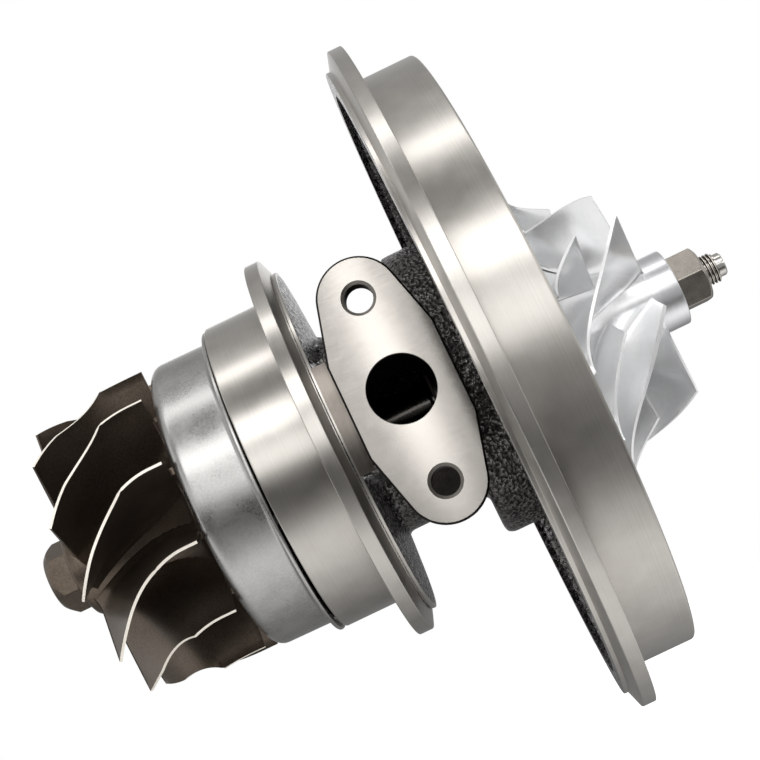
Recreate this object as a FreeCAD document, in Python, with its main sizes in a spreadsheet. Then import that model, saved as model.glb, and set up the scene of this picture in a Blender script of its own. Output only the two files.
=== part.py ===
import FreeCAD, Part
import math
import os
import Sketcher

# Turbo cartridge: the bearing housing of a V-band turbocharger with its complete rotor.
# X runs along the shaft from the turbine to the compressor nut, -Y points out of the oil
# drain pad, +Z is up.  The origin is on the shaft axis in the locating face of the turbine
# V-band flange.  Lengths are millimetres, angles degrees.

SIZES = {
    # turbine end of the housing
    "registerRadius": 49.1,
    "registerLength": 18.7,
    "registerChamfer": 0.5,
    "registerWall": 4.9,
    "turbineFlangeRadius": 60.6,
    "turbineFlangeWidth": 4.3,
    "flangeEdge": 0.4,
    "turbineFlankRun": 1.8,
    "turbineFlankDrop": 4.9,
    "reliefWidth": 0.6,
    "reliefDepth": 1.2,
    "turbineRimRadius": 55.3,
    "turbineRimWidth": 1.0,
    "turbineDiscDraft": 1.8,
    "noseLength": 16.8,
    "noseRadius": 21.0,
    "noseRootRadius": 31.0,
    "shieldPocketDepth": 8.5,
    # barrel, cast block and compressor-side disc
    "barrelRadius": 32.0,
    "castFillet": 4.0,
    "blockRadius": 45.3,
    "blockLength": 10.2,
    "blockRound": 4.5,
    "housingLength": 71.2,
    "compressorFlangeRadius": 106.2,
    "compressorFlangeWidth": 4.2,
    "compressorFlankRun": 1.75,
    "compressorFlankDrop": 5.4,
    "backRimWidth": 1.3,
    "drumStep": 11.2,
    "drumWidth": 17.7,
    "drumChamfer": 1.0,
    "dishRimStep": 1.2,
    "dishDepth": 8.0,
    "dishDraft": 3.0,
    "wheelPocketDepth": 2.0,
    "wheelPocketGap": 1.0,
    # oil drain pad and boss
    "drainCentre": 27.3,
    "drainFace": 57.0,
    "drainBoreRadius": 9.525,
    "drainRunOut": 2.5,
    "drainBoltSpacing": 54.2,
    "drainBoltRadius": 3.95,
    "drainBoltChamfer": 0.9,
    "drainPadHalfWidth": 15.65,
    "drainPadHalfStraight": 13.5,
    "drainPadEndRadius": 11.6,
    "drainPadThickness": 7.3,
    "drainBossHalfWidth": 17.5,
    "drainBossRight": 13.0,
    "drainBossCorner": 4.0,
    "drainBossStep": 1.3,
    # oil inlet pad and drillings
    "inletFace": 42.0,
    "inletBoreRadius": 5.0,
    "inletBoreDepth": 12.0,
    "inletBoltSpacing": 31.0,
    "inletBoltRadius": 3.4,
    "inletBoltDepth": 14.0,
    "inletPadHalfWidth": 11.5,
    "inletPadHalfStraight": 6.0,
    "inletPadEndRadius": 7.8,
    "feedRadius": 1.75,
    # bores inside the housing
    "sealHubClearance": 0.3,
    "turbineOilRoom": 7.0,
    "turbineOilRoomRadius": 20.0,
    "cavityRadius": 22.0,
    "passageInnerRadius": 17.6,
    "passageOuterRadius": 24.0,
    "passageAngle": 110.0,
    "turbineBearingOffset": 14.2,
    "boreLip": 1.4,
    # floating bearings and their snap rings
    "journalRadius": 8.0,
    "journalClearance": 0.03,
    "bearingRadius": 12.7,
    "bearingClearance": 0.05,
    "bearingLength": 15.0,
    "bearingFloat": 0.2,
    "bearingChamfer": 0.6,
    "bearingOilHoleRadius": 1.25,
    "bearingOilHoles": 6,
    "snapRingThickness": 1.2,
    "snapRingGroove": 1.2,
    "snapRingInset": 1.8,
    "snapRingPlay": 0.05,
    "snapRingOpening": 36.0,
    # rotor shaft
    "sealHubRadius": 13.5,
    "sealHubLength": 11.0,
    "sealHubSpigot": 4.2,
    "shaftNeckRadius": 10.0,
    "shaftReliefRadius": 7.3,
    "stubRadius": 4.75,
    "stubClearance": 0.02,
    "threadRootRadius": 4.1,
    "threadLength": 5.8,
    "shaftTipRadius": 3.6,
    "shaftTipLength": 2.4,
    "shaftTipSlotWidth": 0.8,
    "shaftTipSlotDepth": 0.8,
    # piston-type seal rings
    "sealRingWidth": 1.6,
    "sealRingDepth": 1.7,
    "sealRingSidePlay": 0.1,
    "sealRingRoom": 0.4,
    "sealRingSlit": 0.5,
    # thrust assembly and oil seal plate
    "thrustFlangeRadius": 15.0,
    "thrustFlangeWidth": 2.5,
    "thrustHubRadius": 9.0,
    "thrustRunningGap": 0.05,
    "thrustRoomGap": 0.3,
    "thrustRoomSide": 1.6,
    "thrustBearingRadius": 27.0,
    "thrustBearingWidth": 3.5,
    "thrustSlotHalfWidth": 6.0,
    "thrustPinRadius": 1.5,
    "thrustPinCircle": 22.0,
    "thrustPinDepth": 4.0,
    "seatClearance": 0.03,
    "baffleSheet": 1.0,
    "baffleDish": 2.85,
    "baffleClampWidth": 5.0,
    "baffleRunningGap": 0.6,
    "baffleToPlateGap": 1.5,
    "slingerNeckRadius": 12.0,
    "slingerFlangeRadius": 15.5,
    "slingerFlangeWidth": 1.4,
    "slingerSleeveRadius": 10.0,
    "sealPlateRadius": 35.5,
    "sealPlateWidth": 7.85,
    "sealPlateRoomRadius": 18.5,
    "sealPlateWall": 2.6,
    "plateRingThickness": 1.5,
    "plateRingGroove": 1.6,
    "plateRingInset": 2.2,
    "plateRingDepth": 3.2,
    "plateStepDepth": 3.2,
    "oRingSection": 2.4,
    "oRingSqueeze": 0.2,
    # heat shield
    "shieldRadius": 45.7,
    "shieldDepth": 20.4,
    "shieldSheet": 1.2,
    "shieldCorner": 3.9,
    "shieldHoleGap": 1.5,
    "brimRadius": 48.9,
    "brimBend": 1.5,
    # turbine wheel
    "shieldToWheel": 1.1,
    "turbineBladeCount": 12,
    "turbineTipRadius": 46.2,
    "turbineInletWidth": 13.8,
    "turbineThroatRadius": 42.75,
    "turbineExitRadius": 42.9,
    "turbineExitLand": 7.4,
    "turbineBladeLength": 35.8,
    "turbineExitSweep": 3.6,
    "turbineBackStep": 1.1,
    "turbineBackThickness": 1.6,
    "turbineBackRadius": 38.0,
    "scallopRadius": 9.0,
    "scallopFloorRadius": 30.5,
    "turbineHubRootRadius": 27.0,
    "turbineHubRadius": 15.3,
    "turbineHubEndRadius": 14.5,
    "turbineHubLength": 44.3,
    "turbineBowlLength": 23.4,
    "turbineBowlRadius": 29.25,
    "turbineBossFlats": 19.4,
    "turbineBossLength": 8.6,
    "turbineBossRound": 3.4,
    "turbineBossDrop": 3.0,
    "turbineBossChamfer": 1.3,
    "turbineWrap": 32.2,
    "turbineStraight": 3.7,
    "turbineCurving": 2.1,
    "turbineBladeTip": 0.92,
    "turbineBladeRoot": 2.4,
    "turbineFirstBlade": 15.0,
    # compressor wheel
    "wheelBackGap": 0.8,
    "compressorBladeCount": 7,
    "compressorTipRadius": 51.0,
    "compressorEyeRadius": 35.6,
    "compressorExitWidth": 6.8,
    "compressorShroudPower": 2.25,
    "compressorDiscThickness": 1.5,
    "compressorHubRadius": 12.4,
    "compressorNoseRadius": 11.9,
    "compressorNoseLength": 8.4,
    "compressorWheelLength": 42.6,
    "compressorEyeSetback": 1.4,
    "compressorWrap": 59.0,
    "compressorWrapBias": 1.2,
    "compressorBladeTip": 0.65,
    "compressorBladeRoot": 2.0,
    "splitterStart": 0.30,
    "compressorFirstBlade": 90.0,
    # compressor nut
    "nutFlats": 16.0,
    "nutHeight": 8.0,
    "nutChamfer": 0.9,
    "nutChamferReach": 1.8,
    "nutCornerAngle": -10.0,
}

STATIONS = 8
OVERRUN = 1.0
BLADE_SINK = 2.0
ELLIPSE = 2.0
LONG_CUT = 20.0

doc = FreeCAD.newDocument("TurboCartridge")
sheet = doc.addObject("Spreadsheet::Sheet", "Sizes")
for row, (alias, number) in enumerate(SIZES.items(), start=1):
    sheet.set("A%d" % row, alias)
    sheet.set("B%d" % row, str(number))
    sheet.setAlias("B%d" % row, alias)
doc.recompute()


class Size:
    # A length with the spreadsheet formula that it comes from.
    def __init__(self, value, formula):
        self.value = float(value)
        self.formula = formula

    def __add__(self, other):
        other = as_size(other)
        return Size(self.value + other.value, "(%s + %s)" % (self.formula, other.formula))

    def __sub__(self, other):
        other = as_size(other)
        return Size(self.value - other.value, "(%s - %s)" % (self.formula, other.formula))

    def __mul__(self, other):
        other = as_size(other)
        return Size(self.value * other.value, "(%s * %s)" % (self.formula, other.formula))

    def __truediv__(self, other):
        other = as_size(other)
        return Size(self.value / other.value, "(%s / %s)" % (self.formula, other.formula))

    def __neg__(self):
        return Size(-self.value, "(0 - %s)" % self.formula)


def as_size(number):
    if isinstance(number, Size):
        return number
    return Size(number, repr(float(number)))


def size(alias):
    return Size(getattr(sheet, alias), "Sizes.%s" % alias)


def root(number):
    return Size(math.sqrt(number.value), "sqrt(%s)" % number.formula)


# Positions along the shaft, each worked out from the sizes.
register_start = -size("registerLength")
nose_end = register_start - size("noseLength")
shield_front = register_start - size("shieldDepth")
turbine_wheel_back = shield_front - size("shieldToWheel")
seal_hub_start = turbine_wheel_back + size("sealHubSpigot")
seal_hub_end = seal_hub_start + size("sealHubLength")
flank_end = size("turbineFlangeWidth") + size("turbineFlankRun")
turbine_rim_start = flank_end + size("reliefWidth")
turbine_rim_end = turbine_rim_start + size("turbineRimWidth")
turbine_disc_end = turbine_rim_end + size("turbineDiscDraft")
drum_back = size("housingLength") - size("drumWidth")
compressor_flange_back = drum_back - size("compressorFlangeWidth")
compressor_flank_end = compressor_flange_back - size("compressorFlankRun")
disc_back = compressor_flank_end - size("backRimWidth")
block_start = disc_back - size("blockLength")
dish_floor = disc_back + size("dishDepth")
back_rim_radius = size("compressorFlangeRadius") - size("compressorFlankDrop")
drum_radius = size("compressorFlangeRadius") - size("drumStep")
dish_radius = drum_radius - size("dishRimStep")

wheel_pocket_floor = size("housingLength") - size("wheelPocketDepth")
compressor_wheel_back = wheel_pocket_floor + size("wheelBackGap")
seal_plate_seat = wheel_pocket_floor - size("sealPlateWidth")
baffle_seat = seal_plate_seat - size("baffleSheet")
thrust_bearing_back = baffle_seat - size("thrustBearingWidth")
thrust_shoulder = thrust_bearing_back - size("thrustRunningGap") - size("thrustFlangeWidth")
thrust_room_start = thrust_shoulder - size("thrustRoomGap")
ring_room = size("bearingFloat") + size("snapRingThickness") + size("boreLip")
compressor_bearing_end = thrust_room_start - ring_room
compressor_bearing_start = compressor_bearing_end - size("bearingLength")
turbine_bearing_start = -size("turbineBearingOffset")
turbine_bearing_end = turbine_bearing_start + size("bearingLength")
cavity_start = turbine_bearing_end + ring_room
cavity_end = compressor_bearing_start - ring_room
turbine_room_end = turbine_bearing_start - ring_room
turbine_room_start = turbine_room_end - size("turbineOilRoom")

bearing_bore = size("bearingRadius") + size("bearingClearance")
seal_bore = size("sealHubRadius") + size("sealHubClearance")
slinger_bore = size("slingerSleeveRadius") + size("sealHubClearance")
stub_bore = size("stubRadius") + size("stubClearance")
wheel_pocket_radius = size("compressorTipRadius") + size("wheelPocketGap")
thrust_room_radius = size("thrustFlangeRadius") + size("thrustRoomSide")


def bind(target, name, amount):
    # Sets a property or a constraint to a spreadsheet formula.
    target.setExpression(name, as_size(amount).formula)


def plane_of(body, role):
    return [item for item in body.Origin.OriginFeatures if item.Role == role][0]


def new_body(label):
    body = doc.addObject("PartDesign::Body", label)
    body.Label = label
    return body


def arc_between(start, end, radius):
    # The short arc from start to end; a negative radius bulges to the other side.
    middle = (start + end) * 0.5
    chord = end - start
    rise = math.sqrt(max(radius * radius - chord.Length ** 2 / 4, 0.0))
    side = FreeCAD.Vector(-chord.y, chord.x, 0).normalize()
    centre = middle + side * (rise if radius > 0 else -rise)
    first = math.atan2(start.y - centre.y, start.x - centre.x)
    last = math.atan2(end.y - centre.y, end.x - centre.x)
    circle = Part.Circle(centre, FreeCAD.Vector(0, 0, 1), abs(radius))
    if radius > 0:
        return Part.ArcOfCircle(circle, first, last), True
    return Part.ArcOfCircle(circle, last, first), False


def add_outline(sketch, corners):
    # A closed outline.  Each corner is (x, y) or (x, y, radius), where radius makes the
    # edge that arrives at the corner an arc.  Every corner is tied to the spreadsheet.
    count = len(corners)
    points = [FreeCAD.Vector(as_size(c[0]).value, as_size(c[1]).value, 0) for c in corners]
    first_edge = sketch.GeometryCount
    edges = []
    starts = []
    ends = []
    for i in range(count):
        following = (i + 1) % count
        corner = corners[following]
        if len(corner) == 3:
            arc, forward = arc_between(points[i], points[following], as_size(corner[2]).value)
            edges.append(arc)
            starts.append(1 if forward else 2)
            ends.append(2 if forward else 1)
        else:
            edges.append(Part.LineSegment(points[i], points[following]))
            starts.append(1)
            ends.append(2)
    sketch.addGeometry(edges, False)
    constraints = []
    for i in range(count):
        following = (i + 1) % count
        constraints.append(Sketcher.Constraint("Coincident", first_edge + i, ends[i],
                                               first_edge + following, starts[following]))
    bound = []
    for i in range(count):
        for axis, name in ((0, "DistanceX"), (1, "DistanceY")):
            amount = as_size(corners[i][axis])
            if axis == 1 and amount.value == 0:
                constraints.append(Sketcher.Constraint("PointOnObject", first_edge + i, starts[i], -1))
                continue
            if axis == 0 and amount.value == 0:
                constraints.append(Sketcher.Constraint("PointOnObject", first_edge + i, starts[i], -2))
                continue
            constraints.append(Sketcher.Constraint(name, -1, 1, first_edge + i, starts[i], amount.value))
            bound.append((len(constraints) - 1, amount))
        following = (i + 1) % count
        if len(corners[following]) == 3:
            radius = as_size(corners[following][2])
            radius = radius if radius.value > 0 else -radius
            constraints.append(Sketcher.Constraint("Radius", first_edge + i, radius.value))
            bound.append((len(constraints) - 1, radius))
    offset = sketch.ConstraintCount
    sketch.addConstraint(constraints)
    for index, amount in bound:
        if "Sizes." in amount.formula:
            bind(sketch, "Constraints[%d]" % (offset + index), amount)


def add_circle(sketch, x, y, radius):
    x = as_size(x)
    y = as_size(y)
    radius = as_size(radius)
    index = sketch.addGeometry(Part.Circle(FreeCAD.Vector(x.value, y.value, 0),
                                           FreeCAD.Vector(0, 0, 1), radius.value), False)
    for name, target, axis in (("DistanceX", x, -2), ("DistanceY", y, -1)):
        if target.value == 0:
            sketch.addConstraint(Sketcher.Constraint("PointOnObject", index, 3, axis))
        else:
            constraint = sketch.addConstraint(Sketcher.Constraint(name, -1, 1, index, 3, target.value))
            bind(sketch, "Constraints[%d]" % constraint, target)
    constraint = sketch.addConstraint(Sketcher.Constraint("Radius", index, radius.value))
    bind(sketch, "Constraints[%d]" % constraint, radius)


def new_sketch(body, name, role="XZ_Plane", offset=None):
    sketch = body.newObject("Sketcher::SketchObject", name)
    sketch.AttachmentSupport = [(plane_of(body, role), "")]
    sketch.MapMode = "FlatFace"
    if offset is not None:
        bind(sketch, ".AttachmentOffset.Base.z", offset)
    return sketch


def revolve(body, name, corners, kind="PartDesign::Revolution", role="XZ_Plane", angle=None):
    # Turns an outline of (x along the shaft, radius) corners about the shaft axis.
    sketch = new_sketch(body, name + "Outline", role)
    add_outline(sketch, corners)
    feature = body.newObject(kind, name)
    feature.Profile = sketch
    feature.ReferenceAxis = (sketch, ["H_Axis"])
    if angle is not None:
        bind(feature, "Angle", angle)
        feature.Midplane = True
    doc.recompute()
    return feature


def pad(body, name, sketch, length, reverse=False):
    feature = body.newObject("PartDesign::Pad", name)
    feature.Profile = sketch
    bind(feature, "Length", length)
    feature.Reversed = reverse
    doc.recompute()
    return feature


def pocket(body, name, sketch, length, reverse=False):
    feature = body.newObject("PartDesign::Pocket", name)
    feature.Profile = sketch
    bind(feature, "Length", length)
    feature.Reversed = reverse
    doc.recompute()
    return feature


def round_the_shaft(body, name, feature, count):
    pattern = body.newObject("PartDesign::PolarPattern", name)
    pattern.Originals = [feature]
    pattern.Axis = (plane_axis(body), [""])
    pattern.Angle = 360
    bind(pattern, "Occurrences", count)
    body.Tip = pattern
    doc.recompute()
    return pattern


def plane_axis(body):
    return [item for item in body.Origin.OriginFeatures if item.Role == "X_Axis"][0]


def rectangle(x_from, x_to, r_from, r_to):
    return [(x_from, r_from), (x_to, r_from), (x_to, r_to), (x_from, r_to)]


def two_bolt_outline(centre, half_width, half_straight, end_radius, spacing):
    # A flange with straight sides that taper to a round end about each bolt.
    half = spacing / 2
    run = half_straight - half
    reach = half_width * half_width + run * run
    along = end_radius * end_radius / reach
    across = end_radius * root(reach - end_radius * end_radius) / reach
    touch_x = half_width * along - run * across
    touch_z = half + run * along + half_width * across
    return [
        (centre - half_width, half_straight),
        (centre - half_width, -half_straight),
        (centre - touch_x, -touch_z),
        (centre + touch_x, -touch_z, end_radius),
        (centre + half_width, -half_straight),
        (centre + half_width, half_straight),
        (centre + touch_x, touch_z),
        (centre - touch_x, touch_z, end_radius),
    ]


def rounded_rectangle(x_from, x_to, z_from, z_to, corner):
    return [
        (x_from, z_to - corner, corner),
        (x_from, z_from + corner),
        (x_from + corner, z_from, corner),
        (x_to - corner, z_from),
        (x_to, z_from + corner, corner),
        (x_to, z_to - corner),
        (x_to - corner, z_to, corner),
        (x_from + corner, z_to),
    ]


def bearing_housing():
    body = new_body("housingCasting")
    fillet = size("castFillet")
    block_round = size("blockRound")
    edge = size("flangeEdge")
    seat_radius = size("registerRadius") - size("registerWall")
    relief_radius = size("turbineRimRadius") - size("reliefDepth")
    flank_foot = size("turbineFlangeRadius") - size("turbineFlankDrop")
    pocket_floor = register_start + size("shieldPocketDepth")
    revolve(body, "castingTurned", [
        (nose_end, 0),
        (nose_end, size("noseRadius")),
        (register_start, size("noseRootRadius")),
        (pocket_floor, size("noseRootRadius")),
        (pocket_floor, seat_radius),
        (register_start, seat_radius),
        (register_start, size("registerRadius") - size("registerChamfer")),
        (register_start + size("registerChamfer"), size("registerRadius")),
        (0, size("registerRadius")),
        (0, size("turbineFlangeRadius") - edge),
        (edge, size("turbineFlangeRadius")),
        (size("turbineFlangeWidth") - edge, size("turbineFlangeRadius")),
        (size("turbineFlangeWidth"), size("turbineFlangeRadius") - edge),
        (flank_end, flank_foot),
        (flank_end, relief_radius),
        (turbine_rim_start, relief_radius),
        (turbine_rim_start, size("turbineRimRadius")),
        (turbine_rim_end, size("turbineRimRadius")),
        (turbine_disc_end, size("barrelRadius") + fillet),
        (turbine_disc_end + fillet, size("barrelRadius"), fillet),
        (block_start - fillet, size("barrelRadius")),
        (block_start, size("barrelRadius") + fillet, fillet),
        (block_start, size("blockRadius") - block_round),
        (block_start + block_round, size("blockRadius"), -block_round),
        (dish_floor - fillet, size("blockRadius")),
        (dish_floor, size("blockRadius") + fillet, fillet),
        (dish_floor, dish_radius - size("dishDraft")),
        (disc_back, dish_radius),
        (disc_back, back_rim_radius),
        (compressor_flank_end, back_rim_radius),
        (compressor_flange_back, size("compressorFlangeRadius") - edge),
        (compressor_flange_back + edge, size("compressorFlangeRadius")),
        (drum_back - edge, size("compressorFlangeRadius")),
        (drum_back, size("compressorFlangeRadius") - edge),
        (drum_back, drum_radius),
        (size("housingLength") - size("drumChamfer"), drum_radius),
        (size("housingLength"), drum_radius - size("drumChamfer")),
        (size("housingLength"), 0),
    ])

    # drain boss, turned down with the turbine rim where it stands beside the pad
    boss_left = turbine_rim_end
    boss_sketch = new_sketch(body, "drainBossOutline", offset=size("drainFace") - size("drainBossStep"))
    add_outline(boss_sketch, rounded_rectangle(
        boss_left, size("drainCentre") + size("drainBossRight"),
        -size("drainBossHalfWidth"), size("drainBossHalfWidth"), size("drainBossCorner")))
    pad(body, "drainBoss", boss_sketch,
        size("drainFace") - size("drainBossStep") - size("passageOuterRadius"), reverse=True)
    pad_left = size("drainCentre") - size("drainPadHalfWidth")
    revolve(body, "turnedBand", rectangle(
        turbine_rim_start, pad_left, size("turbineRimRadius"),
        size("drainFace") + OVERRUN), kind="PartDesign::Groove")
    pad_sketch = new_sketch(body, "drainPadOutline", offset=size("drainFace"))
    add_outline(pad_sketch, two_bolt_outline(
        size("drainCentre"), size("drainPadHalfWidth"), size("drainPadHalfStraight"),
        size("drainPadEndRadius"), size("drainBoltSpacing")))
    pad(body, "drainPad", pad_sketch, size("drainPadThickness"), reverse=True)

    # oil inlet pad on the opposite side
    inlet_sketch = new_sketch(body, "inletPadOutline", offset=-size("inletFace"))
    add_outline(inlet_sketch, two_bolt_outline(
        size("drainCentre"), size("inletPadHalfWidth"), size("inletPadHalfStraight"),
        size("inletPadEndRadius"), size("inletBoltSpacing")))
    pad(body, "inletPad", inlet_sketch, size("inletFace") - size("passageOuterRadius"))

    # stepped bore from the seal at the turbine end to the wheel pocket
    groove = size("snapRingGroove")
    ring = size("snapRingThickness") + size("snapRingPlay")
    float_gap = size("bearingFloat")
    plate_groove_start = wheel_pocket_floor - size("plateRingInset")
    plate_groove_end = plate_groove_start + size("plateRingThickness") + size("snapRingPlay")
    revolve(body, "mainBore", [
        (nose_end - OVERRUN, 0),
        (nose_end - OVERRUN, seal_bore),
        (turbine_room_start, seal_bore),
        (turbine_room_start, size("turbineOilRoomRadius")),
        (turbine_room_end, size("turbineOilRoomRadius")),
        (turbine_room_end, bearing_bore),
        (turbine_bearing_start - float_gap - ring, bearing_bore),
        (turbine_bearing_start - float_gap - ring, bearing_bore + groove),
        (turbine_bearing_start - float_gap, bearing_bore + groove),
        (turbine_bearing_start - float_gap, bearing_bore),
        (turbine_bearing_end + float_gap, bearing_bore),
        (turbine_bearing_end + float_gap, bearing_bore + groove),
        (turbine_bearing_end + float_gap + ring, bearing_bore + groove),
        (turbine_bearing_end + float_gap + ring, bearing_bore),
        (cavity_start, bearing_bore),
        (cavity_start, size("cavityRadius")),
        (cavity_end, size("cavityRadius")),
        (cavity_end, bearing_bore),
        (compressor_bearing_start - float_gap - ring, bearing_bore),
        (compressor_bearing_start - float_gap - ring, bearing_bore + groove),
        (compressor_bearing_start - float_gap, bearing_bore + groove),
        (compressor_bearing_start - float_gap, bearing_bore),
        (compressor_bearing_end + float_gap, bearing_bore),
        (compressor_bearing_end + float_gap, bearing_bore + groove),
        (compressor_bearing_end + float_gap + ring, bearing_bore + groove),
        (compressor_bearing_end + float_gap + ring, bearing_bore),
        (thrust_room_start, bearing_bore),
        (thrust_room_start, thrust_room_radius),
        (thrust_bearing_back, thrust_room_radius),
        (thrust_bearing_back, size("thrustBearingRadius")),
        (seal_plate_seat, size("thrustBearingRadius")),
        (seal_plate_seat, size("sealPlateRadius")),
        (plate_groove_start, size("sealPlateRadius")),
        (plate_groove_start, size("sealPlateRadius") + size("plateRingGroove")),
        (plate_groove_end, size("sealPlateRadius") + size("plateRingGroove")),
        (plate_groove_end, size("sealPlateRadius")),
        (wheel_pocket_floor, size("sealPlateRadius")),
        (wheel_pocket_floor, wheel_pocket_radius),
        (size("housingLength") + OVERRUN, wheel_pocket_radius),
        (size("housingLength") + OVERRUN, 0),
    ], kind="PartDesign::Groove")

    # oil passages below the two bearing bosses, open to the drain
    for name, start, end in (("turbinePassage", turbine_room_start, cavity_start + OVERRUN),
                             ("compressorPassage", cavity_end - OVERRUN, thrust_bearing_back)):
        revolve(body, name, rectangle(start, end, -size("passageOuterRadius"),
                                      -size("passageInnerRadius")),
                kind="PartDesign::Groove", role="XY_Plane", angle=size("passageAngle"))

    # drain hole and bolt holes
    drain_sketch = new_sketch(body, "drainHoleOutline", offset=size("drainFace"))
    add_circle(drain_sketch, size("drainCentre"), 0, size("drainBoreRadius"))
    pocket(body, "drainHole", drain_sketch,
           size("drainFace") - size("cavityRadius") + size("drainRunOut"))
    bolt_sketch = new_sketch(body, "drainBoltOutline", offset=size("drainFace"))
    for side in (1, -1):
        add_circle(bolt_sketch, size("drainCentre"), size("drainBoltSpacing") * side / 2,
                   size("drainBoltRadius"))
    pocket(body, "drainBoltHoles", bolt_sketch, size("drainPadThickness") + OVERRUN)
    edges = []
    holes = body.Tip.Shape
    for index, item in enumerate(holes.Edges, start=1):
        if not isinstance(item.Curve, Part.Circle):
            continue
        on_face = abs(item.Curve.Center.y + size("drainFace").value) < 0.01
        if on_face and abs(item.Curve.Radius - size("drainBoltRadius").value) < 0.01:
            edges.append("Edge%d" % index)
    chamfer = body.newObject("PartDesign::Chamfer", "drainBoltChamfers")
    chamfer.Base = (body.getObject("drainBoltHoles"), edges)
    bind(chamfer, "Size", size("drainBoltChamfer"))
    doc.recompute()

    # inlet bore and bolt holes
    inlet_bore_sketch = new_sketch(body, "inletBoreOutline", offset=-size("inletFace"))
    add_circle(inlet_bore_sketch, size("drainCentre"), 0, size("inletBoreRadius"))
    pocket(body, "inletBore", inlet_bore_sketch, size("inletBoreDepth"), reverse=True)
    inlet_bolt_sketch = new_sketch(body, "inletBoltOutline", offset=-size("inletFace"))
    for side in (1, -1):
        add_circle(inlet_bolt_sketch, size("drainCentre"), size("inletBoltSpacing") * side / 2,
                   size("inletBoltRadius"))
    pocket(body, "inletBoltHoles", inlet_bolt_sketch, size("inletBoltDepth"), reverse=True)

    # drillings from the inlet to each bearing, and the thrust bearing's pin holes
    tools = []
    gallery_y = size("inletFace").value - size("inletBoreDepth").value + OVERRUN
    gallery = FreeCAD.Vector(size("drainCentre").value, gallery_y, 0)
    for name, start, end in (
            ("turbineFeed", turbine_bearing_start, turbine_bearing_end),
            ("compressorFeed", compressor_bearing_start, compressor_bearing_end)):
        middle = (start.value + end.value) / 2
        target = FreeCAD.Vector(middle, bearing_bore.value - OVERRUN, 0)
        drill = doc.addObject("Part::Cylinder", name)
        bind(drill, "Radius", size("feedRadius"))
        drill.Height = (target - gallery).Length
        drill.Placement = FreeCAD.Placement(
            gallery, FreeCAD.Rotation(FreeCAD.Vector(0, 0, 1), target - gallery))
        tools.append(drill)
    for side in (1, -1):
        hole = doc.addObject("Part::Cylinder", "pinHole%d" % side)
        bind(hole, "Radius", size("thrustPinRadius") + size("seatClearance"))
        bind(hole, "Height", size("thrustPinDepth") + OVERRUN)
        hole.Placement = along_shaft(0)
        bind(hole, "Placement.Base.x", thrust_bearing_back - size("thrustPinDepth"))
        bind(hole, "Placement.Base.z", size("thrustPinCircle") * side)
        tools.append(hole)
    drillings = doc.addObject("Part::MultiFuse", "drillings")
    drillings.Shapes = tools
    housing = doc.addObject("Part::Cut", "bearing_housing")
    housing.Base = body
    housing.Tool = drillings
    return housing


def along_shaft(x):
    return FreeCAD.Placement(FreeCAD.Vector(x, 0, 0), FreeCAD.Rotation(FreeCAD.Vector(0, 1, 0), 90))


def heat_shield():
    body = new_body("heat_shield")
    outer = size("shieldRadius")
    sheet_metal = size("shieldSheet")
    corner = size("shieldCorner")
    bend = size("brimBend")
    brim_front = register_start - sheet_metal
    revolve(body, "shieldPressing", [
        (shield_front, size("sealHubRadius") + size("shieldHoleGap")),
        (shield_front, outer - corner),
        (shield_front + corner, outer, -corner),
        (brim_front - bend, outer),
        (brim_front, outer + bend, bend),
        (brim_front, size("brimRadius")),
        (register_start, size("brimRadius")),
        (register_start, outer + bend),
        (brim_front - bend, outer - sheet_metal, -(bend + sheet_metal)),
        (shield_front + corner, outer - sheet_metal),
        (shield_front + sheet_metal, outer - corner, corner - sheet_metal),
        (shield_front + sheet_metal, size("sealHubRadius") + size("shieldHoleGap")),
    ])
    return body


def snap_ring(name, start, outer, depth, thickness):
    # A round ring with a gap, lying in its groove.
    body = new_body(name)
    revolve(body, name + "Section",
            rectangle(start, start + thickness, outer - depth, outer),
            angle=as_size(360) - size("snapRingOpening"))
    return body


def bearing_snap_rings():
    outer = bearing_bore + size("snapRingGroove") - size("snapRingPlay")
    depth = size("snapRingGroove") + size("snapRingInset")
    before = size("bearingFloat") + size("snapRingThickness")
    starts = (turbine_bearing_start - before, turbine_bearing_end + size("bearingFloat"),
              compressor_bearing_start - before, compressor_bearing_end + size("bearingFloat"))
    return [snap_ring("bearing_snap_ring_%d" % number, start, outer, depth, size("snapRingThickness"))
            for number, start in enumerate(starts, start=1)]


def journal_bearing(name, start):
    # A floating bush with a chamfer at each edge and a ring of oil holes.
    body = new_body(name)
    end = start + size("bearingLength")
    bore = size("journalRadius") + size("journalClearance")
    chamfer = size("bearingChamfer")
    revolve(body, name + "Bush", [
        (start, bore + chamfer),
        (start + chamfer, bore),
        (end - chamfer, bore),
        (end, bore + chamfer),
        (end, size("bearingRadius") - chamfer),
        (end - chamfer, size("bearingRadius")),
        (start + chamfer, size("bearingRadius")),
        (start, size("bearingRadius") - chamfer),
    ])
    sketch = new_sketch(body, name + "OilHoleOutline", "XY_Plane")
    add_circle(sketch, start + size("bearingLength") / 2, 0, size("bearingOilHoleRadius"))
    hole = pocket(body, name + "OilHole", sketch, size("bearingRadius") + OVERRUN, reverse=True)
    round_the_shaft(body, name + "OilHoles", hole, size("bearingOilHoles"))
    return body


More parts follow.
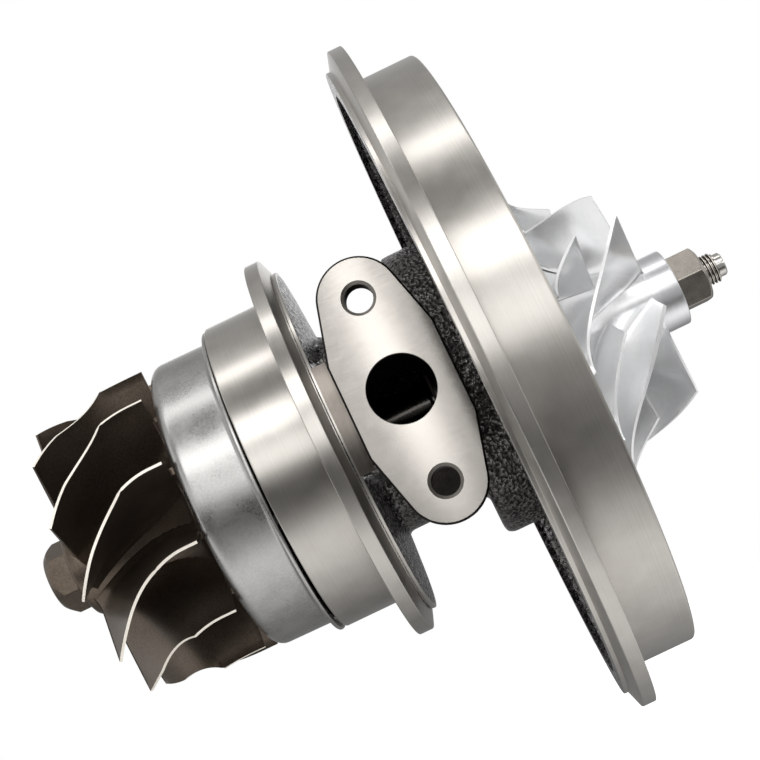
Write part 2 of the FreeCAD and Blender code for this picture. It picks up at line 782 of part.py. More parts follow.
def rotor_shaft():
    body = new_body("rotor_shaft")
    ring_start = seal_hub_start + (size("sealHubLength") - size("sealRingWidth")) / 2
    ring_start = ring_start - size("sealRingSidePlay")
    ring_end = ring_start + size("sealRingWidth") + size("sealRingSidePlay") * 2
    ring_floor = seal_bore - size("sealRingDepth") - size("sealRingRoom")
    nut_end = compressor_wheel_back + size("compressorWheelLength") + size("nutHeight")
    thread_end = nut_end + size("threadLength")
    tip_end = thread_end + size("shaftTipLength")
    neck_end = turbine_room_end
    revolve(body, "shaftTurned", [
        (seal_hub_start, 0),
        (seal_hub_start, size("sealHubRadius")),
        (ring_start, size("sealHubRadius")),
        (ring_start, ring_floor),
        (ring_end, ring_floor),
        (ring_end, size("sealHubRadius")),
        (seal_hub_end, size("sealHubRadius")),
        (seal_hub_end, size("shaftNeckRadius")),
        (neck_end - OVERRUN, size("shaftNeckRadius")),
        (neck_end, size("journalRadius")),
        (cavity_start, size("journalRadius")),
        (cavity_start + OVERRUN, size("shaftReliefRadius")),
        (cavity_end - OVERRUN, size("shaftReliefRadius")),
        (cavity_end, size("journalRadius")),
        (thrust_shoulder, size("journalRadius")),
        (thrust_shoulder, size("stubRadius")),
        (nut_end, size("stubRadius")),
        (nut_end, size("threadRootRadius")),
        (thread_end, size("threadRootRadius")),
        (thread_end, size("shaftTipRadius")),
        (tip_end - size("flangeEdge"), size("shaftTipRadius")),
        (tip_end, size("shaftTipRadius") - size("flangeEdge")),
        (tip_end, 0),
    ])
    # crossed slots in the end of the shaft, by which it is held while the nut is turned
    sketch = new_sketch(body, "tipSlotOutline", "YZ_Plane", offset=tip_end)
    wide = size("shaftTipRadius") + OVERRUN
    half = size("shaftTipSlotWidth") / 2
    add_outline(sketch, [
        (-wide, -half), (-half, -half), (-half, -wide), (half, -wide), (half, -half), (wide, -half),
        (wide, half), (half, half), (half, wide), (-half, wide), (-half, half), (-wide, half)])
    pocket(body, "tipSlots", sketch, size("shaftTipSlotDepth"))
    return body


def seal_ring(name, start, outer):
    body = new_body(name)
    revolve(body, name + "Section",
            rectangle(start, start + size("sealRingWidth"), outer - size("sealRingDepth"), outer))
    sketch = new_sketch(body, name + "SlitOutline", "XY_Plane")
    slit_floor = outer - size("sealRingDepth") - OVERRUN
    add_outline(sketch, rectangle(start - OVERRUN, start + size("sealRingWidth") + OVERRUN,
                                  slit_floor, outer + OVERRUN))
    slit = body.newObject("PartDesign::Pocket", name + "Slit")
    slit.Profile = sketch
    slit.Midplane = True
    bind(slit, "Length", size("sealRingSlit"))
    doc.recompute()
    return body


def turbine_seal_ring():
    start = seal_hub_start + (size("sealHubLength") - size("sealRingWidth")) / 2
    return seal_ring("turbine_seal_ring", start, seal_bore - size("seatClearance"))


def thrust_collar():
    body = new_body("thrust_collar")
    flange_end = thrust_shoulder + size("thrustFlangeWidth")
    hub_end = baffle_seat + size("thrustRunningGap")
    revolve(body, "collarTurned", [
        (thrust_shoulder, stub_bore),
        (hub_end, stub_bore),
        (hub_end, size("thrustHubRadius")),
        (flange_end, size("thrustHubRadius")),
        (flange_end, size("thrustFlangeRadius")),
        (thrust_shoulder, size("thrustFlangeRadius")),
    ])
    return body


def thrust_washer():
    body = new_body("thrust_washer")
    start = baffle_seat + size("thrustRunningGap")
    revolve(body, "washerTurned", rectangle(
        start, start + size("baffleDish") - size("baffleRunningGap"), stub_bore,
        size("thrustFlangeRadius")))
    return body


def thrust_bearing():
    body = new_body("thrust_bearing")
    outer = size("thrustBearingRadius") - size("seatClearance")
    revolve(body, "thrustDisc", rectangle(
        thrust_bearing_back, baffle_seat, size("thrustHubRadius") + size("bearingClearance"), outer))
    # slot that lets the oil fall out, and the two pin holes
    slot_sketch = new_sketch(body, "oilSlotOutline", "YZ_Plane", offset=thrust_bearing_back)
    half = size("thrustSlotHalfWidth")
    add_outline(slot_sketch, [
        (-outer - OVERRUN, -half), (-size("thrustFlangeRadius"), -half),
        (-size("thrustFlangeRadius"), half), (-outer - OVERRUN, half)])
    pocket(body, "oilSlot", slot_sketch, size("thrustBearingWidth") + OVERRUN, reverse=True)
    pin_sketch = new_sketch(body, "pinHoleOutline", "YZ_Plane", offset=thrust_bearing_back)
    for side in (1, -1):
        add_circle(pin_sketch, 0, size("thrustPinCircle") * side,
                   size("thrustPinRadius") + size("seatClearance"))
    pocket(body, "pinHoles", pin_sketch, size("thrustBearingWidth") + OVERRUN, reverse=True)
    return body


def thrust_bearing_pins():
    pins = []
    for side in (1, -1):
        pin = doc.addObject("Part::Cylinder", "thrustPin%d" % side)
        bind(pin, "Radius", size("thrustPinRadius"))
        bind(pin, "Height", size("thrustPinDepth") + size("thrustBearingWidth") - size("seatClearance"))
        pin.Placement = along_shaft(0)
        bind(pin, "Placement.Base.x", thrust_bearing_back - size("thrustPinDepth"))
        bind(pin, "Placement.Base.z", size("thrustPinCircle") * side)
        pins.append(pin)
    group = doc.addObject("Part::Compound", "thrust_bearing_pins")
    group.Links = pins
    return group


def oil_baffle():
    body = new_body("oil_baffle")
    outer = size("thrustBearingRadius") - size("seatClearance")
    clamp = outer - size("baffleClampWidth")
    dish = baffle_seat + size("baffleDish")
    rim = size("sealPlateRoomRadius") - size("baffleSheet")
    revolve(body, "bafflePressing", [
        (baffle_seat, outer),
        (baffle_seat, clamp),
        (dish, rim - size("baffleSheet")),
        (dish, size("slingerNeckRadius") + size("baffleRunningGap")),
        (dish + size("baffleSheet"), size("slingerNeckRadius") + size("baffleRunningGap")),
        (dish + size("baffleSheet"), rim - size("baffleSheet") / 2),
        (seal_plate_seat, clamp + size("baffleSheet") / 2),
        (seal_plate_seat, outer),
    ])
    return body


slinger_start = baffle_seat + size("thrustRunningGap") + size("baffleDish") - size("baffleRunningGap")
flinger_start = baffle_seat + size("baffleDish") + size("baffleSheet") + size("baffleRunningGap") / 2
flinger_end = flinger_start + size("slingerFlangeWidth")
plate_bore_start = wheel_pocket_floor - size("sealPlateWall")


def oil_slinger():
    body = new_body("oil_slinger")
    middle = (plate_bore_start + wheel_pocket_floor) / 2
    ring_start = middle - size("sealRingWidth") / 2 - size("sealRingSidePlay")
    ring_end = middle + size("sealRingWidth") / 2 + size("sealRingSidePlay")
    ring_floor = slinger_bore - size("sealRingDepth") - size("sealRingRoom")
    revolve(body, "slingerTurned", [
        (slinger_start, stub_bore),
        (slinger_start, size("slingerNeckRadius")),
        (flinger_start, size("slingerNeckRadius")),
        (flinger_start, size("slingerFlangeRadius")),
        (flinger_end, size("slingerFlangeRadius")),
        (flinger_end, size("slingerSleeveRadius")),
        (ring_start, size("slingerSleeveRadius")),
        (ring_start, ring_floor),
        (ring_end, ring_floor),
        (ring_end, size("slingerSleeveRadius")),
        (compressor_wheel_back, size("slingerSleeveRadius")),
        (compressor_wheel_back, stub_bore),
    ])
    return body


def compressor_seal_ring():
    middle = (plate_bore_start + wheel_pocket_floor) / 2
    return seal_ring("compressor_seal_ring", middle - size("sealRingWidth") / 2,
                     slinger_bore - size("seatClearance"))


def oil_seal_plate():
    body = new_body("oil_seal_plate")
    outer = size("sealPlateRadius") - size("seatClearance")
    ring_back = wheel_pocket_floor - size("plateRingInset")
    groove_end = ring_back - size("baffleSheet")
    groove_start = groove_end - size("oRingSection") - size("oRingSqueeze")
    groove_floor = size("sealPlateRadius") - size("oRingSection")
    step = size("sealPlateRadius") - size("plateStepDepth")
    room_mouth = size("thrustBearingRadius") - size("baffleClampWidth") + size("baffleToPlateGap")
    revolve(body, "plateTurned", [
        (seal_plate_seat, room_mouth),
        (seal_plate_seat, outer),
        (groove_start, outer),
        (groove_start, groove_floor),
        (groove_end, groove_floor),
        (groove_end, outer),
        (ring_back, outer),
        (ring_back, step),
        (wheel_pocket_floor, step),
        (wheel_pocket_floor, slinger_bore),
        (plate_bore_start, slinger_bore),
        (plate_bore_start, size("sealPlateRoomRadius")),
        (seal_plate_seat + size("baffleDish"), size("sealPlateRoomRadius")),
    ])
    return body


def seal_plate_o_ring():
    ring = doc.addObject("Part::Torus", "seal_plate_o_ring")
    section = (size("oRingSection") - size("seatClearance") * 2) / 2
    groove_end = wheel_pocket_floor - size("plateRingInset") - size("baffleSheet")
    bind(ring, "Radius2", section)
    bind(ring, "Radius1", size("sealPlateRadius") - size("oRingSection") / 2)
    ring.Placement = along_shaft(0)
    bind(ring, "Placement.Base.x", groove_end - (size("oRingSection") + size("oRingSqueeze")) / 2)
    return ring


def seal_plate_snap_ring():
    outer = size("sealPlateRadius") + size("plateRingGroove") - size("snapRingPlay")
    return snap_ring("seal_plate_snap_ring", wheel_pocket_floor - size("plateRingInset"),
                     outer, size("plateRingDepth"), size("plateRingThickness"))


def polar(x, radius, angle):
    # A point at this angle up from the drain side, -Y, towards +Z.
    turn = math.radians(angle)
    return FreeCAD.Vector(x, -radius * math.cos(turn), radius * math.sin(turn))


def blade_section(root_point, tip_point, normal, root_half, tip_half):
    corners = [root_point + normal * root_half, tip_point + normal * tip_half,
               tip_point - normal * tip_half, root_point - normal * root_half]
    return Part.makePolygon(corners + corners[:1])


def blade_from(stations, root_half, tip_half):
    # Lofts thin tapered sections that stand on the hub line and reach the shroud line.
    sections = []
    last = len(stations) - 1
    for i, (root_point, tip_point) in enumerate(stations):
        before = stations[max(i - 1, 0)]
        after = stations[min(i + 1, last)]
        middle_before = (before[0] + before[1]) * 0.5
        middle_after = (after[0] + after[1]) * 0.5
        normal = (middle_after - middle_before).cross(tip_point - root_point).normalize()
        sections.append(blade_section(root_point, tip_point, normal, root_half, tip_half))
    return Part.makeLoft(sections, True, False)


def spun_copies(shape, count, first_angle):
    # The copies stand at first_angle and every equal step round the shaft.
    axis = FreeCAD.Vector(1, 0, 0)
    copies = []
    for i in range(count):
        copy = shape.copy()
        copy.rotate(FreeCAD.Vector(), axis, -(first_angle + 360.0 * i / count))
        copies.append(copy)
    return copies


def turbine_blade():
    back = turbine_wheel_back.value - size("turbineBackStep").value
    length = size("turbineBladeLength").value
    wrap = size("turbineWrap").value
    straight = size("turbineStraight").value
    sweep = size("turbineExitSweep").value
    hub = size("turbineHubRadius").value

    def camber(x):
        travelled = max(back - straight - x, 0.0) / (length - straight)
        return -wrap * travelled ** size("turbineCurving").value

    stations = []
    for i in range(STATIONS):
        t = i / (STATIONS - 1)
        tip_x = back - length * t
        root_x = back - (length + sweep) * t
        stations.append((polar(root_x, hub - BLADE_SINK, camber(root_x)),
                         polar(tip_x, size("turbineTipRadius").value + OVERRUN, camber(tip_x))))
    blank = blade_from(stations, size("turbineBladeRoot").value / 2, size("turbineBladeTip").value / 2)
    # trim to the contour that runs inside the turbine housing
    tip = size("turbineTipRadius").value
    inlet_end = back - size("turbineInletWidth").value
    land_start = back - length + size("turbineExitLand").value
    throat = FreeCAD.Vector((inlet_end + land_start) / 2, 0, size("turbineThroatRadius").value)
    inlet_corner = FreeCAD.Vector(inlet_end, 0, tip)
    land_corner = FreeCAD.Vector(land_start, 0, size("turbineExitRadius").value)
    far = FreeCAD.Vector(land_start - LONG_CUT, 0, size("turbineExitRadius").value)
    far_axis = FreeCAD.Vector(land_start - LONG_CUT, 0, 0)
    back_axis = FreeCAD.Vector(back + OVERRUN, 0, 0)
    back_tip = FreeCAD.Vector(back + OVERRUN, 0, tip)
    wire = Part.Wire([
        Part.makeLine(back_axis, back_tip),
        Part.makeLine(back_tip, inlet_corner),
        Part.Arc(inlet_corner, throat, land_corner).toShape(),
        Part.makeLine(land_corner, far),
        Part.makeLine(far, far_axis),
        Part.makeLine(far_axis, back_axis),
    ])
    envelope = Part.Face(wire).revolve(FreeCAD.Vector(), FreeCAD.Vector(1, 0, 0), 360)
    return blank.common(envelope)


def turbine_wheel():
    hub = new_body("turbineHub")
    back = turbine_wheel_back
    front = back - size("turbineHubLength")
    boss_end = front - size("turbineBossLength")
    blade_back = back - size("turbineBackThickness")
    # hexagon boss with a double chamfer at its end, by which the wheel is turned
    sketch = new_sketch(hub, "bossOutline", "YZ_Plane", offset=boss_end)
    flat = size("turbineBossFlats") / 2
    corner = flat * (2 / math.sqrt(3))
    add_outline(sketch, [(flat, corner / 2), (0, corner), (-flat, corner / 2),
                         (-flat, -corner / 2), (0, -corner), (flat, -corner / 2)])
    pad(hub, "boss", sketch, size("turbineBossLength") + OVERRUN)
    face_radius = corner - size("turbineBossDrop")
    end_chamfer = size("turbineBossChamfer")
    revolve(hub, "bossChamfers", [
        (boss_end - OVERRUN, face_radius),
        (boss_end, face_radius),
        (boss_end + end_chamfer, face_radius + end_chamfer),
        (boss_end + size("turbineBossRound"), corner),
        (boss_end + size("turbineBossRound"), corner + OVERRUN),
        (boss_end - OVERRUN, corner + OVERRUN),
    ], kind="PartDesign::Groove")
    revolve(hub, "hubCast", [
        (front, 0),
        (front, size("turbineHubEndRadius")),
        (back - size("turbineBladeLength") - size("turbineExitSweep"), size("turbineHubRadius")),
        (blade_back - size("turbineBowlLength"), size("turbineHubRadius")),
        (blade_back, size("turbineHubRootRadius"), size("turbineBowlRadius")),
        (blade_back, size("turbineBackRadius")),
        (back, size("turbineBackRadius")),
        (back, size("sealHubRadius")),
        (seal_hub_start, size("sealHubRadius")),
        (seal_hub_start, 0),
    ])
    scallop_sketch = new_sketch(hub, "scallopOutline", "YZ_Plane", offset=back)
    add_circle(scallop_sketch, -size("scallopFloorRadius") - size("scallopRadius"), 0,
               size("scallopRadius"))
    scallop = pocket(hub, "scallop", scallop_sketch, size("turbineBackThickness") + OVERRUN)
    round_the_shaft(hub, "scallops", scallop, size("turbineBladeCount"))

    blades = doc.addObject("Part::Feature", "turbineBlades")
    blades.Shape = Part.makeCompound(spun_copies(
        turbine_blade(), int(size("turbineBladeCount").value), size("turbineFirstBlade").value))
    wheel = doc.addObject("Part::MultiFuse", "turbine_wheel")
    wheel.Shapes = [hub, blades]
    return wheel


def compressor_line(t, x_in, x_out, r_in, r_out, power):
    # A quarter of an ellipse from the axial inlet to the radial outlet; a power over 2
    # draws its bend together.
    quarter = t * math.pi / 2
    along = math.sin(quarter) ** (2 / power)
    outward = 1 - math.cos(quarter) ** (2 / power)
    return x_in + (x_out - x_in) * along, r_in + (r_out - r_in) * outward


def compressor_blade(start):
    back = compressor_wheel_back.value
    hub_out = back + size("compressorDiscThickness").value
    shroud_out = hub_out + size("compressorExitWidth").value
    hub_in = back + size("compressorWheelLength").value - size("compressorNoseLength").value
    shroud_in = hub_in - size("compressorEyeSetback").value
    tip = size("compressorTipRadius").value
    eye = size("compressorEyeRadius").value
    hub = size("compressorHubRadius").value
    wrap = size("compressorWrap").value
    bias = size("compressorWrapBias").value
    shroud_power = size("compressorShroudPower").value
    stations = []
    for i in range(STATIONS):
        t = start + (1 - start) * i / (STATIONS - 1)
        angle = -wrap * t * (1 + bias) / (1 + bias * t)
        hub_x, hub_r = compressor_line(t, hub_in, hub_out, hub, tip, ELLIPSE)
        shroud_x, shroud_r = compressor_line(t, shroud_in, shroud_out, eye, tip, shroud_power)
        reach = FreeCAD.Vector(shroud_x - hub_x, 0, shroud_r - hub_r).normalize() * OVERRUN
        stations.append((polar(hub_x - reach.x, hub_r - reach.z, angle),
                         polar(shroud_x, shroud_r, angle)))
    return blade_from(stations, size("compressorBladeRoot").value / 2,
                      size("compressorBladeTip").value / 2)


def compressor_wheel():
    hub = new_body("compressorHub")
    back = compressor_wheel_back
    disc_front = back + size("compressorDiscThickness")
    hub_in = back + size("compressorWheelLength") - size("compressorNoseLength")
    front = back + size("compressorWheelLength")
    tip = size("compressorTipRadius")
    inner = size("compressorHubRadius")
    corners = [
        (back, stub_bore),
        (front, stub_bore),
        (front, size("compressorNoseRadius") - size("flangeEdge")),
        (front - size("flangeEdge"), size("compressorNoseRadius")),
        (hub_in, size("compressorNoseRadius")),
        (hub_in, inner),
    ]
    # the hub follows a quarter ellipse, drawn through points spaced evenly along it
    for i in range(1, STATIONS):
        quarter = i * 90.0 / STATIONS
        sine = math.sin(math.radians(quarter))
        cosine = math.cos(math.radians(quarter))
        corners.append((hub_in - (hub_in - disc_front) * sine, inner + (tip - inner) * (1 - cosine)))
    corners.append((disc_front, tip))
    corners.append((back, tip))
    revolve(hub, "hubMachined", corners)
    blades = doc.addObject("Part::Feature", "compressorBlades")
    count = int(size("compressorBladeCount").value)
    first = size("compressorFirstBlade").value
    full = spun_copies(compressor_blade(0.0), count, first)
    splitters = spun_copies(compressor_blade(size("splitterStart").value), count, first + 180.0 / count)
    blades.Shape = Part.makeCompound(full + splitters)
    wheel = doc.addObject("Part::MultiFuse", "compressor_wheel")
    wheel.Shapes = [hub, blades]
    return wheel


def compressor_nut():
    body = new_body("compressor_nut")
    start = compressor_wheel_back + size("compressorWheelLength")
    end = start + size("nutHeight")
    flat = size("nutFlats") / 2
    corner = flat * (2 / math.sqrt(3))
    chamfer = size("nutChamfer")
    sketch = new_sketch(body, "nutOutline", "YZ_Plane", offset=start)
    add_outline(sketch, [(flat, corner / 2), (0, corner), (-flat, corner / 2),
                         (-flat, -corner / 2), (0, -corner), (flat, -corner / 2)])
    bind(sketch, ".AttachmentOffset.Rotation.Angle", size("nutCornerAngle") + 90)
    pad(body, "nutBlank", sketch, size("nutHeight"))
    for name, face, inward in (("outerChamfer", end, -1), ("innerChamfer", start, 1)):
        revolve(body, name, [
            (face, corner - size("nutChamferReach")),
            (face, corner + OVERRUN),
            (face + chamfer * inward, corner + OVERRUN),
            (face + chamfer * inward, corner),
        ], kind="PartDesign::Groove")
    hole_sketch = new_sketch(body, "nutHoleOutline", "YZ_Plane", offset=start)
    add_circle(hole_sketch, 0, 0, stub_bore)
    pocket(body, "nutHole", hole_sketch, size("nutHeight") + OVERRUN, reverse=True)
    return body


def build():
    pieces = [bearing_housing(), heat_shield()]
    pieces += bearing_snap_rings()
    pieces.append(journal_bearing("journal_bearing_turbine", turbine_bearing_start))
    pieces.append(journal_bearing("journal_bearing_compressor", compressor_bearing_start))
    pieces += [rotor_shaft(), turbine_seal_ring(), thrust_collar(), thrust_bearing()]
    pieces += [thrust_bearing_pins(), thrust_washer(), oil_baffle(), oil_slinger()]
    pieces += [compressor_seal_ring(), oil_seal_plate(), seal_plate_o_ring()]
    pieces += [seal_plate_snap_ring(), turbine_wheel(), compressor_wheel(), compressor_nut()]
    doc.recompute()
    return pieces


def check(pieces):
    for item in doc.Objects:
        bad = [state for state in item.State if state in ("Invalid", "Error")]
        if bad:
            raise RuntimeError("%s failed: %s" % (item.Name, bad))
    for piece in pieces:
        if piece.Shape.isNull() or not piece.Shape.isValid() or not piece.Shape.Solids:
            raise RuntimeError("%s has no valid solid" % piece.Label)


pieces = build()
check(pieces)
os.makedirs("parts", exist_ok=True)
for piece in pieces:
    piece.Shape.exportStep("parts/%s.step" % piece.Label)
    print("%-28s solids %d  volume %10.1f" % (piece.Label, len(piece.Shape.Solids), piece.Shape.Volume))
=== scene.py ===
from math import acos, asin, atan2, cos, exp, hypot, pi, radians, sin, sqrt

import bmesh
import bpy
from mathutils import Matrix, Vector


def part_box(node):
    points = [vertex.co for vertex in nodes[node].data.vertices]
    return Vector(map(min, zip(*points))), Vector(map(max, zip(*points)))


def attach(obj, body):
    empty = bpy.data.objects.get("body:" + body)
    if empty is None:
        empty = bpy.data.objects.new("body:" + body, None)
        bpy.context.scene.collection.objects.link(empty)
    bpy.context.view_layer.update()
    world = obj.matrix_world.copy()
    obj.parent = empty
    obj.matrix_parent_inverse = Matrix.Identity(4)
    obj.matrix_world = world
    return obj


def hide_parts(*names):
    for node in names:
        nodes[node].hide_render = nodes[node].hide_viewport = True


# A turbo cartridge.  X runs along the shaft from the turbine wheel to the compressor nut and -Y
# points out of the oil drain pad.  Sizes are in millimetres and angles in degrees; an angle
# round the shaft is counted from the drain side up towards +Z.
mm = 0.001
black = (0, 0, 0, 1)
white = (1, 1, 1, 1)

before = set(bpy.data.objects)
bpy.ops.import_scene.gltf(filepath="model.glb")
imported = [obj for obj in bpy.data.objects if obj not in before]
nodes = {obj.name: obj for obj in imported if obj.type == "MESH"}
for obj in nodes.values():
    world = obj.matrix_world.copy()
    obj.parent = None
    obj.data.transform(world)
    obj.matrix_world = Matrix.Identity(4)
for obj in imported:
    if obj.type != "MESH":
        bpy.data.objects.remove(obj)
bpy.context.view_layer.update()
print("frame loaded:", len(nodes), "nodes")


def boxOf(node):
    low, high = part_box(node)
    return low / mm, high / mm


shieldLow, shieldHigh = boxOf("heat_shield")
wheelLow, wheelHigh = boxOf("compressor_wheel")
nutLow, nutHigh = boxOf("compressor_nut")
turbineHigh = boxOf("turbine_wheel")[1]
housingHigh = boxOf("bearing_housing")[1]


def linearColour(hexText):
    channels = [int(hexText[i:i + 2], 16) / 255 for i in (1, 3, 5)]
    return [c / 12.92 if c <= 0.04045 else ((c + 0.055) / 1.055) ** 2.4 for c in channels] + [1.0]


def setInputs(tree, node, inputs):
    # an input gets a value or another node's output, and a node stands for its first output
    for socket, value in inputs.items():
        if isinstance(value, bpy.types.Node):
            value = value.outputs[0]
        if isinstance(value, bpy.types.NodeSocket):
            tree.links.new(value, node.inputs[socket])
        else:
            node.inputs[socket].default_value = value


def addNode(tree, kind, inputs=None, **settings):
    # adds one shader node with its settings and links
    node = tree.nodes.new("ShaderNode" + kind)
    for name, value in settings.items():
        setattr(node, name, value)
    setInputs(tree, node, inputs or {})
    return node


def newMaterial(name, metallic):
    material = bpy.data.materials.new(name)
    material.use_nodes = True
    tree = material.node_tree
    tree.nodes.clear()
    shader = addNode(tree, "BsdfPrincipled", {"Metallic": metallic})
    addNode(tree, "OutputMaterial", {0: shader})
    return material, tree, shader


def objectPlace(tree):
    return addNode(tree, "TexCoord").outputs["Object"]


def offShaft(tree, place):
    # the distance from the shaft's axis
    across = addNode(tree, "VectorMath", {0: place, 1: (0, 1, 1)}, operation="MULTIPLY")
    return addNode(tree, "VectorMath", {0: across}, operation="LENGTH").outputs[1]


def finishFrom(tree, shader, pattern, dark, light, smooth, rough, low=0.3, high=0.7):
    # where the pattern rises from low to high the metal goes from dark to light, smooth to rough
    rise = addNode(tree, "MapRange", {0: pattern, 1: low, 2: high})
    colour = addNode(tree, "Mix", {0: rise, 6: linearColour(dark), 7: linearColour(light)},
                     data_type="RGBA").outputs[2]
    gloss = addNode(tree, "MapRange", {0: rise, 3: smooth, 4: rough})
    setInputs(tree, shader, {"Base Color": colour, "Roughness": gloss})
    return colour


toWorld = {"vector_type": "VECTOR", "convert_from": "OBJECT", "convert_to": "WORLD"}

lathe = {
    "stainShare": 0.7,
    "ringDetail": 3.0,
    "stainDetail": 5.0,
    "anisotropy": 0.8,
    "alongShaft": 0.25,
    "ringHeight": 0.01,
    "ringStrength": 0.06,
}


def turnedMetal(name, dark, light, smooth, rough, pitch, mottle=22.0):
    # lathe rings round the shaft, pitch mm apart, on soft stains mottle mm across; the rings
    # draw a reflection out along the shaft
    d = lathe
    material, tree, shader = newMaterial(name, 1.0)
    place = objectPlace(tree)
    split = addNode(tree, "SeparateXYZ", {0: place})
    along = addNode(tree, "Math", {0: split.outputs[0], 1: offShaft(tree, place)})
    rings = addNode(tree, "TexNoise", {"W": along, "Scale": 1 / (pitch * mm),
                                       "Detail": d["ringDetail"]}, noise_dimensions="1D")
    stains = addNode(tree, "TexNoise", {"Vector": place, "Scale": 1 / (mottle * mm),
                                        "Detail": d["stainDetail"]})
    both = addNode(tree, "Mix", {0: d["stainShare"], 2: rings, 3: stains})
    finishFrom(tree, shader, both, dark, light, smooth, rough)
    groove = addNode(tree, "VectorMath", {0: (1, 0, 0), 1: place}, operation="CROSS_PRODUCT")
    tangent = addNode(tree, "VectorTransform", {0: groove}, **toWorld)
    bump = addNode(tree, "Bump", {"Height": rings, "Distance": d["ringHeight"] * mm,
                                  "Strength": d["ringStrength"]})
    setInputs(tree, shader, {"Tangent": tangent, "Anisotropic": d["anisotropy"],
                             "Anisotropic Rotation": d["alongShaft"], "Normal": bump})
    return material


graining = {
    "detail": 3.0,
    "cloudShare": 0.55,
    "low": 0.36,
    "high": 0.64,
    "bumpStrength": 0.35,
}


def grainyMetal(name, dark, light, smooth, rough, grain, cloudSize, height, metallic=1.0):
    # a metal skin with grains grain mm across on broad soft clouds
    d = graining
    material, tree, shader = newMaterial(name, metallic)
    place = objectPlace(tree)
    grains, clouds = [addNode(tree, "TexNoise", {"Vector": place, "Scale": 1 / (size * mm),
                                                 "Detail": d["detail"]})
                      for size in (grain, cloudSize)]
    both = addNode(tree, "Mix", {0: d["cloudShare"], 2: grains, 3: clouds})
    finishFrom(tree, shader, both, dark, light, smooth, rough, d["low"], d["high"])
    bump = addNode(tree, "Bump", {"Height": grains, "Distance": height * mm,
                                  "Strength": d["bumpStrength"]})
    setInputs(tree, shader, {"Normal": bump})
    return material


# machined grey iron: silver grey, a little warm, with fine rings and faint stains
turnedIron = turnedMetal("turnedIron", "#b4b0aa", "#c8c4be", 0.30, 0.38, 0.5, 8.0)
# the turned strip of the boss, in a darker, rougher copy of the turned iron
darkerTurnedIron = turnedMetal("darkerTurnedIron", "#7f7972", "#979089", 0.36, 0.46, 0.5, 4.0)
# ground shaft steel, painted dark as the shade inside the housing, where it is seen through the
# drain hole
shadedShaftSteel = turnedMetal("shaftSteelPaintedShade", "#403d3a", "#595653", 0.20, 0.30, 0.4)
# the shaft's end beyond the nut, in the steel's own bright colour
shaftTip = turnedMetal("shaftEndSteel", "#b9b5b0", "#d4d1cc", 0.20, 0.28, 0.4)
# leaded bronze of the floating bushes and the thrust bearing
bearingBronze = turnedMetal("bearingBronze", "#9a713f", "#c2985c", 0.28, 0.40, 0.5)
# blue-black spring steel of the snap rings
springSteel = turnedMetal("springSteel", "#45423f", "#6a6661", 0.35, 0.5, 0.5)
# the as-cast edge round each pad's face, dark and smooth
padEdgeIron = grainyMetal("padEdgeIron", "#1d1b1a", "#393735", 0.35, 0.5, 0.6, 5.0, 0.004)
# the walls of the drilled holes, painted near-black as the shade inside them
holeShadeIron = grainyMetal("holeShadeIron", "#1b1918", "#34302d", 0.4, 0.55, 0.6, 5.0, 0.02)
# the countersinks of the pads, painted darker as the shade in them
countersinkShadeIron = grainyMetal("countersinkShadeIron", "#6f6b65", "#8f8a83", 0.4, 0.5, 0.6, 5.0, 0.004, 0.5)
# pressed stainless sheet, satin with a fine speckle
stainlessSheet = grainyMetal("pressedStainless", "#a4a3a1", "#b9b8b6", 0.25, 0.34, 0.7, 9.0, 0.002)
# investment-cast blades with a smooth dark brown oxide skin
castSuperalloy = grainyMetal("castSuperalloy", "#4d4238", "#6e6358", 0.28, 0.38, 0.5, 24.0,
                             0.004, 0.8)
# blade tips ground bright after casting, their bright metal also painted near-white as a highlight
groundEdgeAndHighlight = grainyMetal("groundSuperalloyAndHighlight", "#efe7da", "#fbf5ea", 0.4, 0.55, 0.4, 8.0, 0.002, 0.15)
# five-axis milled aluminium, nearly white
milledAluminium = grainyMetal("milledAluminium", "#e6e7e8", "#f1f1f1", 0.22, 0.27, 0.8, 14.0,
                              0.0004, 0.8)
# the compressor wheel's nose, turned bright
turnedAluminium = turnedMetal("turnedAluminium", "#e2e3e5", "#f2f2f3", 0.34, 0.42, 0.7, 8.0)
# the blades' edges, the same aluminium painted brighter as their highlight
milledEdgeHighlight = grainyMetal("milledEdgeHighlight", "#f3f4f4", "#fdfdfd", 0.3, 0.4, 0.8, 8.0, 0.0002, 0.5)
# plain steel nut, brown-grey
nutSteel = grainyMetal("plainNutSteel", "#a29c94", "#a9a39b", 0.25, 0.29, 2.0, 6.0, 0.0001)
# rolled thread with bright crests, and grooves painted dark as the shade in them
threadGrooveShade = grainyMetal("rolledThreadGrooveShade", "#3a342d", "#5a5249", 0.3, 0.4, 0.4, 4.0, 0.0001)
threadCrest = grainyMetal("threadCrest", "#c9c1b4", "#e2dccf", 0.3, 0.4, 0.4, 4.0, 0.0001, 0.7)
# nitrile rubber of the hidden O-ring
sealRubber = grainyMetal("nitrileRubber", "#101010", "#1b1b1b", 0.5, 0.65, 0.3, 5.0, 0.004, 0.0)
print("metals made")


def newObject(name, data):
    made = bpy.data.objects.new(name, data)
    bpy.context.scene.collection.objects.link(made)
    return made


def bareMesh(bm, name):
    # moves the bmesh into a mesh and frees it
    mesh = bpy.data.meshes.new(name)
    bm.to_mesh(mesh)
    bm.free()
    return mesh


def smoothMesh(mesh, angle=35):
    # edges sharper than angle stay sharp
    mesh.shade_smooth()
    mesh.set_sharp_from_angle(angle=radians(angle))
    return mesh


def addPiece(name, bm, body, slot, materials, angle=35, replaced=()):
    piece = newObject(name, smoothMesh(bareMesh(bm, name), angle))
    for material in materials:
        piece.data.materials.append(material)
    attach(piece, body)
    if replaced:
        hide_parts(*replaced)
    return piece


